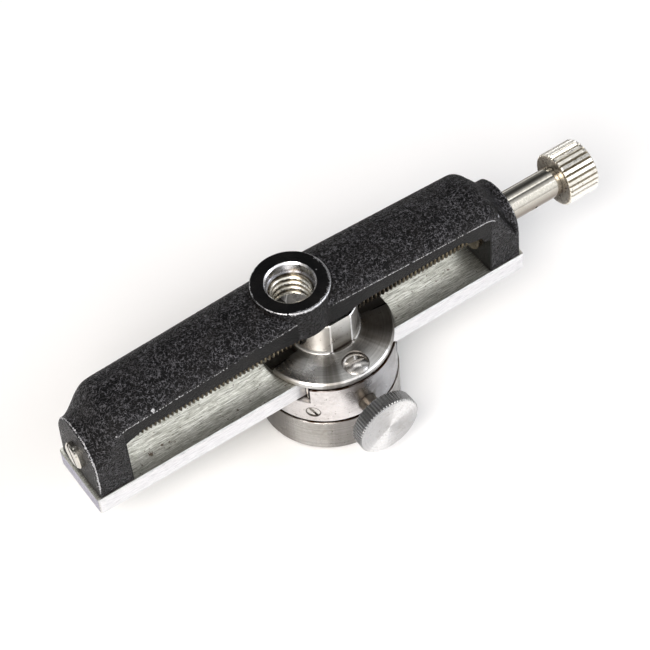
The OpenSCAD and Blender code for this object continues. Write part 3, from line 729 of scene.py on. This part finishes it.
def threaded_steel():
    """Oiled screw steel: dark in the roots, with painted glints that brighten the crests."""
    material, tree, shader = new_material("oiled_screw_steel", Metallic=1.0)
    radius = lathe_coordinate(tree, (0, 0, SCREW_Z), "X")[0]
    # Painted glints: the crests turn light by their radius.
    colour = blend(tree, fade(tree, radius, 2.55, 2.98), "#080604", "#7d7565")
    colour = blend(tree, patchy(tree, 1.2, 4, 0.45, 0.65, 0, 0.7), colour, "#32291f")
    feed(tree, shader, Base_Color=colour, Roughness=patchy(tree, 0.6, 3, 0.3, 0.7, 0.22, 0.45))
    bumpy(tree, shader, speckle(tree, 0.15, 4), 0.2, 0.01)
    return ready(material)


THREAD = threaded_steel()
# The casting's bored metal: white crests and rim, partly painted light, with near-black between
# them, partly oil and partly painted shade.
BARE = grooved_metal("bare_bored_steel", "Z", (BAR_X, 0, 0),
                     ((3.9, "#f0eee6"), (4.12, "#e2dfd4"), (4.35, "#39332a"),
                      (4.6, "#2c261f"), (4.82, "#d4d5da"), (5.4, "#f4f4f6")), 0.24, "#a9a08c")
# Plated nickel: warm white lands, partly painted light, and flutes darkened with a yellow-brown
# film and painted shade.
NICKEL = grooved_metal("nickel_plate", "X", (0, 0, SCREW_Z),
                       ((2, "#8d857a"), (5.4, "#8d857a"), (5.5, "#8d7c5c"), (5.6, "#b3a78c"),
                        (5.72, "#e9e3d6"), (6, "#fbf8f0")), 0.3, "#e8e1d0", "#8b8378")

# %% [markdown]
# ## Black crackle paint
#
# Crackle paint shrinks as it dries and leaves worm-like ridges about half a millimetre apart,
# whose tips catch a grey light while the paint between them stays black. That grey is a painted
# glint on the tips. Low ridges are in the mesh of the crown, and a bump adds the sharper ones.
# The side walls are nearly smooth, so each point of the mesh carries how crackled it
# is, and also how worn: a noise breaks the worn edges up into bare metal and chips.

# %% Crackle paint
WINDOW_HALF = 43.7
FOLD = (46.3, 16.3, 2.05)  # a place on the fold, and how steeply it falls
WORM_MM, WORM_BUMP_MM = 0.52, 0.16
PAINT_CHIPS = (((-36.9, -7.4, 17.1), 0.42), ((-45.4, -7.4, 15.6), 0.2),
               ((46.5, -6.65, 15.1), 0.42), ((5.96, -0.4, 21.5), 0.16),
               ((-39, -7.4, 16.5), 0.16), ((-31, -7.4, 16.9), 0.18))


def bare_metal(tree, wear):
    """1 where the paint is gone: broken along the worn edges, and at a few chips."""
    chips = patchy(tree, 0.35, 4, 0.3, 0.7, -0.45, 0.45)
    bare = spread(tree, total(tree, wear, chips), 0.55, 0.66)
    for place, size in PAINT_CHIPS:
        centre = Vector(place) + Vector(CAST_ORIGIN)
        chip = total(tree, near(tree, centre, size * 2), times(tree, chips, 0.5))
        bare = larger(tree, bare, spread(tree, chip, 0.45, 0.55))
    return bare


def fold_shade(tree):
    """1 in the dark fold of the right nose."""
    x, z, slope = FOLD
    centre = Vector((x, 0, z)) + Vector(CAST_ORIGIN)
    along, above = coordinate(tree, "X", centre), coordinate(tree, "Z", centre)
    away = unsigned(tree, total(tree, above, times(tree, along, slope)))
    return times(tree, fade(tree, away, 0.5, 1.1, 1, 0), band(tree, along, 1.9, 1.9, 0.3))


def crackle_paint():
    material, tree, shader = new_material("black_crackle_paint",
                                          **{"Specular IOR Level": 0.14})
    wear, crown = [add(tree, "Attribute", {"attribute_name": name}).outputs["Fac"]
                   for name in ("wear", "crackle")]
    worms = add(tree, "TexNoise", {"noise_type": "RIDGED_MULTIFRACTAL", "Detail": 2,
                                   "Vector": place_of(tree), "Scale": per_mm(WORM_MM),
                                   "Roughness": 0.6, "Lacunarity": 2.2, "Offset": 0.9,
                                   "Gain": 1.7, "Distortion": 0.3})
    worms = worms.outputs["Fac"]
    fine = speckle(tree, 0.2, 3)
    bare = bare_metal(tree, wear)
    # Painted glints: grey on the tips of the ridges of the crown.
    tip_glints = times(tree, spread(tree, worms, 0.8, 1.4), crown, patchy(tree, 0.7, 3, 0.36, 0.58))
    paint = blend(tree, tip_glints, "#050506", "#6e6d71")
    paint = blend(tree, patchy(tree, 4, 4, 0.45, 0.7, 0, 0.4), paint, "#1d1b1a")
    paint = blend(tree, times(tree, hollows(tree, 0.6), 0.6), paint, "#1c130b")
    paint = blend(tree, times(tree, fold_shade(tree), 0.9), paint, "#010101")
    # Painted shade on the window's inner wall at the driven end.
    inner_wall_shade = times(tree, spread(tree, facing(tree, "X"), -0.9, -0.95),
                       band(tree, coordinate(tree, "X"), BAR_X + WINDOW_HALF, 0.5, 0.1), 0.8)
    paint = blend(tree, inner_wall_shade, paint, "#020202")
    metal = ramp(tree, fine, [(0.35, "#9c9c9e"), (0.6, "#d9d9dc")])
    rough = total(tree, spread(tree, fine, 0.3, 0.7, 0.3, 0.5), times(tree, bare, -0.1))
    feed(tree, shader, Base_Color=blend(tree, bare, paint, metal), Metallic=bare,
         Roughness=rough)
    relief = times(tree, total(tree, worms, times(tree, fine, 0.5)),
                   spread(tree, crown, 0, 1, 0.2, 1))
    bumpy(tree, shader, relief, 1.0, WORM_BUMP_MM)
    return ready(material)


PAINT = crackle_paint()

# %% [markdown]
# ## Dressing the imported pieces
#
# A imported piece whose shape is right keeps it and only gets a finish. The pieces that
# are rebuilt further down are dressed too, since other tools still show them.

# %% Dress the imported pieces
for material, *nodes in ((BAR, "rail_bar"), (PAINT, "bridge"), (CAP, "carriage_cap"),
                         (DRUM, "carriage_drum"), (PLATFORM, "camera_platform"),
                         (CLAMP, "clamp_knob"), (THREAD, "lead_screw"),
                         (NICKEL, "fine_knob"), (BRIGHT, "adjusting_plug"),
                         (OILY, "thrust_washer"), (STEM, "knob_stem"),
                         (SCREW_HEAD, "cap_screws", "retaining_screw"),
                         (DARK, "bridge_screws", "stem_pin", "gib_spring",
                          "friction_washer", "clamp_shaft"),
                         (BRASS, "journal_bush", "clamp_shoe"), (GIB, "gib")):
    for node in nodes:
        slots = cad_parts[node].data.materials
        slots.clear()
        slots.append(material)
    print(material.name, "on", ", ".join(nodes))

# %% [markdown]
# ## The casting's cross-sections
#
# A foundry pattern is planned from templates, and the casting is drawn the same way:
# upright walls to a crease, and a rounded crown that drops in an S-shaped nose to a
# collar at each end. It could be sculpted, but a section for each place along the
# bar keeps the crease and the arch exact.

# %% Casting sections
HALF_WIDTH = 7.4
NOSE_LEN = 8.9
COLLARS = {-1: 0.5, 1: 1.4}
COLLAR_TOP, COLLAR_SPRING = 14.7, 6.3
CREASE_MID, CREASE_END = 18.2, 16.1
CROWN_MID, CROWN_END = BOSS_TOP - 0.6, 19.4
ARCH_POWER, NOSE_POWER = 2.2, 1.35
END_EDGE, END_LEAN = 0.3, 0.3
WALL_SHARES = (0.0, 0.45, 0.75)
WALL_DEPTHS = (1.6, 0.9, 0.5, 0.28, 0.14, 0.06)
ARCH_STEPS = 60


def side_of(x):
    return 1 if x > 0 else -1


def nose_share(x):
    """Share of the drop from beam to collar at x from the middle."""
    start = CAST_HALF - NOSE_LEN
    f = (abs(x) - start) / (NOSE_LEN - COLLARS[side_of(x)])
    f = min(max(f, 0), 1)
    return (1 - math.cos(math.pi * f ** NOSE_POWER)) / 2


def section_sizes(x):
    """Crease height, crown height and lean of the cross-section at x."""
    u, t = min(abs(x) / WINDOW_HALF, 1), nose_share(x)
    crease = CREASE_MID + (CREASE_END - CREASE_MID) * u
    crown = CROWN_MID + (CROWN_END - CROWN_MID) * u
    return crease + (COLLAR_SPRING - crease) * t, crown + (COLLAR_TOP - crown) * t, END_LEAN * t


def section_points(x, shrink=0.0):
    """One cross-section from the lower front corner round to the lower back one, as
    (x, y, z, how much it belongs to the crown)."""
    crease, crown, lean = section_sizes(x)
    width = HALF_WIDTH - shrink
    top = crown - shrink
    wall = [crease * s for s in WALL_SHARES]
    wall += [crease - min(d, crease * 0.2) for d in WALL_DEPTHS]
    points = [(-width, z, 0.0) for z in wall]
    for i in range(ARCH_STEPS + 1):
        a = math.pi * i / ARCH_STEPS
        c, s = -math.cos(a), math.sin(a)
        y = width * math.copysign(abs(c) ** (2 / ARCH_POWER), c)
        z = crease + (top - crease) * abs(s) ** (2 / ARCH_POWER)
        points.append((y, z, abs(s) ** 0.5))
    points += [(width, z, 0.0) for z in reversed(wall)]
    return [(x - side_of(x) * lean * z / top, y, z, share) for y, z, share in points]


print("points in a section", len(section_points(0)))

# %% [markdown]
# ## The casting's skin
#
# Four hundred sections, a quarter of a millimetre apart, are joined into a skin, so
# fine that the low ridges of the paint can be pushed into the crown. They are drawn
# at 0.75 mm, wider than the bump's, and fade out at the two ends.

# %% Casting skin
SECTIONS = 408
RIDGE_MM, RIDGE_HEIGHT = 0.75, 0.045
RIDGES_END = 1.2
FOLD_START, FOLD_END, FOLD_RUN_IN = 45.8, 50.3, 0.8
FOLD_DEEP, FOLD_HALF = 0.5, 0.45
FOLD_LEAN = 0.44  # the part of a height difference that lies across the fold
MOST_SUNK = -0.1


def crackle_height(x, y, z):
    """Height of the worm-like ridges of the paint, in millimetres."""
    place = Vector((x, y, z)) / RIDGE_MM
    return RIDGE_HEIGHT * (noise.ridged_multi_fractal(place, 0.9, 2.1, 2, 0.9, 1.8) - 0.9)


def fold_depth(x, z):
    """The dark fold where the nose of the driven end meets its block, in millimetres."""
    if not FOLD_START < x < FOLD_END:
        return 0.0
    away = abs(z - FOLD[1] + FOLD[2] * (x - FOLD[0])) * FOLD_LEAN
    return FOLD_DEEP * max(0.0, 1 - away / FOLD_HALF) * min(1.0, (x - FOLD_START) / FOLD_RUN_IN)


def casting_skin():
    xs = steps(-CAST_HALF + END_EDGE, CAST_HALF - END_EDGE, SECTIONS)
    rows = ([section_points(-CAST_HALF, END_EDGE)] + [section_points(x) for x in xs]
            + [section_points(CAST_HALF, END_EDGE)])
    points = []
    for row in rows:
        for x, y, z, share in row:
            near_end = min((CAST_HALF - abs(x)) / RIDGES_END, 1)
            lift = crackle_height(x, y, z) * share * max(near_end, 0)
            lift -= fold_depth(x, z) * min(1, 3 * share)
            outward = lift if lift < 0 else 0.3 * lift
            points.append((x, y * (1 + outward / HALF_WIDTH), z + max(lift, MOST_SUNK)))
    n = len(rows[0])
    faces = [[i * n + j, (i + 1) * n + j, (i + 1) * n + (j + 1) % n, i * n + (j + 1) % n]
             for i in range(len(rows) - 1) for j in range(n)]
    faces += [list(range(n)), [(len(rows) - 1) * n + j for j in range(n - 1, -1, -1)]]
    return mesh_piece("casting", np.array(points) + CAST_ORIGIN, faces)


casting = casting_skin()
print("casting skin", len(casting.data.polygons), "faces")

# %% [markdown]
# ## Boss, window, bores and thread
#
# The boss is joined to the skin, and the rest is cut out of it, as it is machined in
# a real casting: the window with its uneven cast upper edge, the screw's bores, four
# screw holes, and a recess over a real 3/8 inch thread of sixteen turns to the inch.
# A profile that asks for the radius THREADED gets the thread's own.

# %% Casting tools
THREADED = -1
THREAD_SLOPE, THREAD_ROOT = 2.6, 0.15
RUN_OUT = 0.6  # turns over which a thread fades out
SOCKET_PITCH, SOCKET_MINOR, SOCKET_MAJOR = 1.5875, 3.97, 4.6
RECESS_R, RECESS_DEPTH, RECESS_BEVEL = 4.95, 2.6, 0.35
BOSS_FOOT, BOSS_WALL, BOSS_RIM = 12.8, 19, 0.12
BOSS_FACE_RINGS = (7.85, 7.6, 7.3, 6.5, 5.7, 5.4)
PLUG_R, BORE_R, BUSH_R, WASHER_R = 2.93, 2.55, 4.23, 4.7
SCREW_HOLE_R, SCREW_HOLE_TOP, SCREW_HOLE_Y = 1.23, 2.93, 4.7
WINDOW_REACH = 9
WINDOW = ((-WINDOW_HALF, -1), (WINDOW_HALF, -1), (WINDOW_HALF, 9.95), (42.2, 10.4),
          (41.6, 12.1), (39, 12.5), (36.5, 14.0), (12, 13.9), (8, 13.0), (-5, 13.0),
          (-9, 13.75), (-39.5, 13.5), (-41.2, 12.8), (-WINDOW_HALF, 11.9))


def thread_shape(pitch, minor, major, run_out=()):
    """Radius of a 60 degree thread over angle and place along the axis. run_out:
    (place, 1 or -1), where the thread starts and ends."""
    def shape(angle, along, radius):
        turn = (along / pitch - angle / (2 * np.pi)) % 1.0
        rise = np.clip((0.5 - np.abs(turn - 0.5)) * THREAD_SLOPE - THREAD_ROOT, 0, 1)
        amount = np.ones_like(along)
        for place, way in run_out:
            amount = amount * np.clip(way * (along - place) / (RUN_OUT * pitch), 0, 1)
        return np.where(radius < 0, minor + (major - minor) * rise * amount, np.abs(radius))
    return shape


def boss_piece():
    profile = [(BOSS_FOOT, BOSS_R)]
    profile += [(z, BOSS_R) for z in steps(BOSS_WALL, BOSS_TOP - BOSS_RIM, 8)]
    profile += [(BOSS_TOP, r) for r in (BOSS_R - BOSS_RIM,) + BOSS_FACE_RINGS]
    return turned("boss", profile, 192, "Z", CAST_ORIGIN)


def window_tool():
    m = len(WINDOW)
    points = [(x, y, z) for y in (-WINDOW_REACH, WINDOW_REACH) for x, z in WINDOW]
    faces = [list(range(m)), [m + k for k in range(m - 1, -1, -1)]]
    faces += [[(k + 1) % m, k, m + k, m + (k + 1) % m] for k in range(m)]
    return mesh_piece("window", np.array(points) + CAST_ORIGIN, faces)


def socket_tool():
    floor = BOSS_TOP - RECESS_DEPTH
    profile = [(z, THREADED) for z in steps(11.5, floor - 0.05, 84)]
    profile += [(floor, RECESS_R - 0.02), (floor + 0.02, RECESS_R)]
    profile += [(z, RECESS_R) for z in steps(floor + 0.3, BOSS_TOP - RECESS_BEVEL, 3)]
    profile += [(BOSS_TOP + out, RECESS_R + RECESS_BEVEL + out) for out in (0, 1)]
    return turned("socket", profile, 96, "Z", CAST_ORIGIN,
                  thread_shape(SOCKET_PITCH, SOCKET_MINOR, SOCKET_MAJOR))


def bore_tools():
    """For the plug, the screw's journal, the bush and the thrust washer, and for the
    four screws that hold the bar."""
    end, inner = CAST_HALF, WINDOW_HALF
    bores = ((-end - 1, -end + 4.4, PLUG_R), (-end + 4.3, -inner + 1, BORE_R),
             (inner - 1, end + 1, BUSH_R), (inner - 2.5, inner, WASHER_R))
    tools = [turned("bore", [(a, r), (b, r)], 96, "X", SCREW_ORIGIN) for a, b, r in bores]
    block_middle = CAST_HALF - (CAST_HALF - WINDOW_HALF) / 2
    hole = [(-1, SCREW_HOLE_R), (SCREW_HOLE_TOP, SCREW_HOLE_R)]
    tools += [turned("bore", hole, 32, "Z",
                     (BAR_X + sx * block_middle, sy * SCREW_HOLE_Y, BAR_TOP))
              for sx in (-1, 1) for sy in (-1, 1)]
    return tools


boss = boss_piece()
tools = [window_tool(), socket_tool()] + bore_tools()
combine(casting, [boss], "UNION")
combine(casting, tools)
print("casting cut", len(casting.data.polygons), "faces")

# %% [markdown]
# ## Wear and bare metal on the casting
#
# Edges wear first: the crease, the rims of the ends and the boss's rim. The paint's
# material reads two values that are written here on each point, how worn it is and
# how crackled. The socket and the bores get the bare metal instead of the paint.

# %% Casting wear
CREASE_WEAR, CREASE_WEAR_CHANGE = 0.15, 0.12  # millimetres to each side
RIM_WEAR = (0.2, 0.42)  # millimetres in from an end
BOSS_WALL_CRACKLE, BLOCK_CRACKLE = 0.4, 0.75


def wear_at(x, y, z, radius, angle):
    """How worn a point is: from 0, whole paint, to over 1, bare metal."""
    crease, crown, lean = section_sizes(x)
    chip = noise.noise(Vector((x * 0.55, y, 3.0)))
    if radius < BOSS_R + 0.05 and z > 18:
        worn = 0.42 if -125 < angle < 20 else 0.14
        worn += 0.1 * noise.noise(Vector((x * 0.8, y * 0.8, 7)))
        return max(0, 1.35 - math.hypot(radius - BOSS_R, z - BOSS_TOP) / (1.3 * worn))
    wear = 0
    away = math.hypot(abs(y) - HALF_WIDTH, z - crease)
    wide = 2 * (CREASE_WEAR + CREASE_WEAR_CHANGE * chip)
    if away < wide and nose_share(x) < 0.12:
        strength = 0.66 + 0.5 * noise.noise(Vector((x * 0.09, y, 9.0))) + 0.003 * x
        wear = strength * (1 - away / wide)
    inward = CAST_HALF - (abs(x) + lean * z / max(crown, 1))
    if z > 2 and RIM_WEAR[0] < inward < RIM_WEAR[1]:
        wear = max(wear, (0.95 if x <= 0 else 0.6) + 0.5 * chip)
    elif z > 2 and inward < 0.1 and abs(y) > 4:
        wear = 0.3
    return wear


def crackle_at(x, z, radius):
    """How crackled a point is, from the smooth walls to the crown."""
    crackle = 1 if z > section_sizes(x)[0] + 0.35 and radius > BOSS_R + 0.05 else 0
    if abs(radius - BOSS_R) < 0.05 and z < BOSS_TOP - 0.4:
        crackle = BOSS_WALL_CRACKLE
    return max(crackle, BLOCK_CRACKLE) if abs(x) > WINDOW_HALF + 0.2 else crackle


def mark_casting(piece):
    data = piece.data
    co = np.empty(len(data.vertices) * 3)
    data.vertices.foreach_get("co", co)
    co = co.reshape(-1, 3) / MM - CAST_ORIGIN
    radius = np.hypot(co[:, 0], co[:, 1])
    angle = np.degrees(np.arctan2(co[:, 1], co[:, 0]))
    wear = [wear_at(*point, r, a) for point, r, a in zip(co, radius, angle)]
    crackle = [crackle_at(point[0], point[2], r) for point, r in zip(co, radius)]
    for name, values in (("wear", wear), ("crackle", crackle)):
        layer = data.attributes.new(name, "FLOAT", "POINT")
        layer.data.foreach_set("value", values)
    data.materials.clear()
    for material in (PAINT, BARE):
        data.materials.append(material)
    x, y, z = (np.array([p.center for p in data.polygons]) / MM - CAST_ORIGIN).T
    in_socket = (np.hypot(x, y) < RECESS_R + RECESS_BEVEL + 0.02) & (z > 12)
    across = np.array([abs(p.normal.x) for p in data.polygons])
    in_bore = ((np.hypot(y, z + BAR_TOP - SCREW_Z) < BUSH_R + 0.17) & (across < 0.3)
               & (np.abs(x) > WINDOW_HALF + 0.1))
    data.polygons.foreach_set("material_index", (in_socket | in_bore).astype(int))
    print("worn points", int(np.sum(np.array(wear) > 0.55)))


mark_casting(casting)
smooth(casting, 38)
finish_piece(casting, "rail", "bridge")

# %% [markdown]
# ## The lead screw
#
# A true M6 thread with a 1 mm pitch: twelve rings of points to each turn, pushed
# out where the thread stands. Its journals and tail are plain, and a cross hole in
# the tail takes the sleeve's pin.

# %% Lead screw
SCREW_LOW, SCREW_HIGH = span("lead_screw")
SCREW_R = (SCREW_HIGH[1] - SCREW_LOW[1]) / 2
SCREW_PITCH, SCREW_ROOT = 1.0, 2.42
RINGS_PER_TURN = 12
JOURNAL_R, TAIL_R = 2.5, 1.9
PIN_HOLE_R, PIN_TURN = 0.83, -65


def make_lead_screw():
    thread_start, thread_end = -WINDOW_HALF + 0.15, WINDOW_HALF - 0.85
    start, end = SCREW_LOW[0] - BAR_X, SCREW_HIGH[0] - BAR_X
    tail_start = CAST_HALF + 0.2
    rings = int(RINGS_PER_TURN * (thread_end - thread_start))
    profile = [(start, JOURNAL_R - 0.2), (start + 0.2, JOURNAL_R),
               (thread_start - 0.02, JOURNAL_R)]
    profile += [(x, THREADED) for x in steps(thread_start, thread_end, rings)]
    profile += [(thread_end + 0.02, JOURNAL_R), (tail_start - 0.02, JOURNAL_R),
                (tail_start, TAIL_R), (end - 0.2, TAIL_R), (end, TAIL_R - 0.2)]
    screw = turned("lead_screw_threaded", profile, 40, "X", SCREW_ORIGIN,
                   thread_shape(SCREW_PITCH, SCREW_ROOT, SCREW_R,
                                ((thread_start, 1), (thread_end, -1))), THREAD)
    hole = turned("bore", [(-6, PIN_HOLE_R), (6, PIN_HOLE_R)], 32, "Z", (0, 0, 0))
    hole.data.transform(Matrix.Translation(Vector(middle("stem_pin")) * MM)
                        @ Matrix.Rotation(math.radians(PIN_TURN), 4, "X"))
    combine(screw, [hole])
    return smooth(screw, 50)


lead_screw = make_lead_screw()
finish_piece(lead_screw, "focus_screw", "lead_screw")

# %% [markdown]
# ## The fine knob
#
# Thirty narrow flutes are milled between wide lands, so the radius dips with a
# rounded curve over a part of each step. Both ends are bevelled, and the flutes run
# out over the bevels as a cutter leaves them.

# %% Fine knob
KNOB_LOW, KNOB_HIGH = span("fine_knob")
KNOB_R = (KNOB_HIGH[2] - KNOB_LOW[2]) / 2
FLUTES, FLUTE_POINTS = 30, 14
FLUTE_DEPTH, FLUTE_SHARE = 0.42, 0.42
SLEEVE_R = 2.53


def fluted(count, depth, share, bottom):
    """Radius of a wheel with round-bottomed flutes over a share of each step. Inside
    the bottom radius the wheel stays plain."""
    def shape(angle, along, radius):
        turn = np.abs((angle * count / (2 * np.pi)) % 1.0 - 0.5) * 2
        dip = np.clip((turn - (1 - share)) / share, 0, 1)
        dip = np.sin(dip * np.pi / 2) ** 0.8
        cut = np.minimum(radius, radius.max() - depth * dip)
        return np.where(radius < bottom, radius, cut)
    return shape


def make_fine_knob():
    start, end, r = KNOB_LOW[0] - BAR_X, KNOB_HIGH[0] - BAR_X, KNOB_R
    profile = [(start, 2.6), (start, 4.4), (start, 5.1), (start + 0.05, r - 0.5),
               (start + 0.12, r - 0.3), (start + 0.3, r - 0.08), (start + 0.45, r)]
    profile += [(x, r) for x in steps(start + 1, end - 1, 10)]
    profile += [(end - 0.6, r), (end - 0.35, r - 0.1), (end - 0.15, r - 0.35),
                (end, r - 0.7), (end, 4.6), (end, 3.4), (end, 2)]
    knob = turned("fine_knob_fluted", profile, FLUTES * FLUTE_POINTS, "X", SCREW_ORIGIN,
                  fluted(FLUTES, FLUTE_DEPTH, FLUTE_SHARE, r - 0.75), NICKEL)
    seat = (end - start) / 2 + 0.03
    bore = turned("bore", [(start - 1, SLEEVE_R), (start + seat, SLEEVE_R)], 64, "X",
                  SCREW_ORIGIN)
    combine(knob, [bore])
    return smooth(knob, 32)


fine_knob = make_fine_knob()
finish_piece(fine_knob, "focus_screw", "fine_knob")

# %% [markdown]
# ## The clamp knob
#
# Its rim is knurled with sixty-four fine grooves, and its face is turned with a
# shallow dish, so the sheen runs out from the middle.

# %% Clamp knob
CLAMP_LOW, CLAMP_HIGH = span("clamp_knob")
CLAMP_R = (CLAMP_HIGH[2] - CLAMP_LOW[2]) / 2
KNURLS, KNURL_POINTS = 64, 8
KNURL_DEPTH, KNURL_SHARE = 0.3, 0.7
CLAMP_THICK, HUB_R, SHAFT_R, SHAFT_DEPTH = 3.3, 3.3, 1.63, 1.83


def make_clamp_knob():
    face, back, hub, r = CLAMP_LOW[1], CLAMP_HIGH[1], HUB_R, CLAMP_R
    inner = face + CLAMP_THICK
    profile = [(face + 0.06, 1.5), (face + 0.05, 3), (face + 0.02, 5), (face, r - 0.75),
               (face, r - 0.45), (face + 0.15, r - 0.2), (face + 0.35, r)]
    profile += [(y, r) for y in steps(face + 0.6, inner - 0.5, 5)]
    profile += [(inner - 0.3, r), (inner - 0.12, r - 0.15), (inner, r - 0.4), (inner, 5),
                (inner, hub + 0.15), (inner + 0.15, hub), (back - 0.15, hub),
                (back, hub - 0.15), (back, 2.4), (back, 1.8)]
    knob = turned("clamp_knob_knurled", profile, KNURLS * KNURL_POINTS, "Y", CLAMP_ORIGIN,
                  fluted(KNURLS, KNURL_DEPTH, KNURL_SHARE, r - 0.5), CLAMP)
    bore = turned("bore", [(inner - SHAFT_DEPTH, SHAFT_R), (back + 1, SHAFT_R)], 64, "Y",
                  CLAMP_ORIGIN)
    combine(knob, [bore])
    return smooth(knob, 30)


clamp_knob = make_clamp_knob()
finish_piece(clamp_knob, "clamp_handle", "clamp_knob")

# %% [markdown]
# ## Floor and card
#
# A pale matt floor, and behind the knob's sleeve one grey card that lies just above
# it. Only polished faces see the card: it gives the sleeve's lower side the darker
# tone that a white floor alone would not.

# %% Floor and card
FLOOR_HALF = 1500
FLOOR_WHITE = (0.97, 0.97, 0.97, 1)
CARD_GREY = linear("#8d8a86")


def flat_sheet(name, finish, low, high, height, colour):
    """A matt sheet on or over the floor, which is no part of the object."""
    corners = [(low[0], low[1], height), (high[0], low[1], height),
               (high[0], high[1], height), (low[0], high[1], height)]
    matt = new_material(finish, **{"Roughness": 0.9, "Base Color": colour})[0]
    sheet = mesh_piece(name, corners, [(0, 1, 2, 3)], matt)
    return sheet


floor = flat_sheet("floor", "floor_white", (-FLOOR_HALF, -FLOOR_HALF),
                   (FLOOR_HALF, FLOOR_HALF), 0, FLOOR_WHITE)
card = flat_sheet("floor_card", "floor_card_grey", (38, 12), (200, 120), 0.6, CARD_GREY)
for kind in ("camera", "diffuse", "transmission", "volume_scatter", "shadow"):
    setattr(card, "visible_" + kind, False)
print("staged", floor.name, card.name)

# %% [markdown]
# ## Lamps
#
# Large soft lamps, as in a studio tent: one from the left front, a weaker one from
# the right, a narrow one overhead, and one behind. The last lights only the bar and
# the fine knob, whose upper faces need it, because it would turn the black paint
# grey. Their places are in metres.

# %% Lamps
LAMP_AIM = (0, 0, 0.02)


def make_lamp(name, place, size, watts, colour="#ffffff"):
    data = bpy.data.lights.new(name, "AREA")
    data.shape = "RECTANGLE"
    data.size, data.size_y = size
    data.energy = watts
    data.color = linear(colour)[:3]
    lamp = bpy.data.objects.new(name, data)
    lamp.location = place
    lamp.rotation_euler = (Vector(LAMP_AIM) - Vector(place)).to_track_quat("-Z", "Y").to_euler()
    scene.collection.objects.link(lamp)
    return lamp


make_lamp("key", (-0.5, -0.4, 0.7), (0.5, 0.5), 6.8, "#fff8f2")
make_lamp("fill", (0.7, -0.5, 0.5), (0.4, 0.5), 2.4, "#eef3ff")
make_lamp("top", (0.1, 0.2, 0.93), (0.9, 0.16), 0.6)
back = make_lamp("back", (0.1, 0.8, 0.6), (0.9, 0.35), 4.5)
lit = bpy.data.collections.new("lit_by_back_lamp")
for piece in (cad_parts["rail_bar"], fine_knob):
    lit.objects.link(piece)
back.light_linking.receiver_collection = lit

# %% [markdown]
# ## The room
#
# Polished metal shows what stands round it. A plain grey room would leave it flat, so
# the room has pale walls and dark gaps at set heights, counted from the back over the
# top to the front. Straight to the camera the room is white.

# %% Room
ROOM_LIGHT = 1.25
ROOM = ((0, 0.26), (0.1, 0.16), (0.17, 0.05), (0.28, 0.05), (0.35, 0.2), (0.42, 0.62),
        (0.47, 0.6), (0.495, 0.02), (0.54, 0.02), (0.58, 0.3), (0.66, 0.55), (0.71, 1.0),
        (0.9, 1.0), (1, 0.6))


def srgb_share(value):
    """A linear grey above 0.0031 as the sRGB share that a hex colour is written in."""
    return 1.055 * value ** (1 / 2.4) - 0.055


world = bpy.data.worlds.new("studio")
world.use_nodes = True
scene.world = world
tree = world.node_tree
tree.nodes.clear()
way = add(tree, "SeparateXYZ", {"Vector": add(tree, "TexCoord").outputs["Generated"]}).outputs
height = add(tree, "Math", {"operation": "ARCTAN2", 0: way["Z"], 1: way["Y"]}).outputs[0]
room = ramp(tree, spread(tree, height, 0, math.pi),
            [(place, grey(srgb_share(value))) for place, value in ROOM])
level = add(tree, "RGBToBW", {"Color": room}).outputs["Val"]
soft, white = [add(tree, "Background", {"Color": (1, 1, 1, 1), "Strength": strength}).outputs[0]
               for strength in (times(tree, level, ROOM_LIGHT), 1.0)]
seen = add(tree, "LightPath").outputs["Is Camera Ray"]
both = add(tree, "MixShader", {0: seen, 1: soft, 2: white}).outputs[0]
add(tree, "OutputWorld", {"Surface": both})
scene.view_settings.view_transform = "Standard"
print("room from", len(tree.nodes), "nodes")
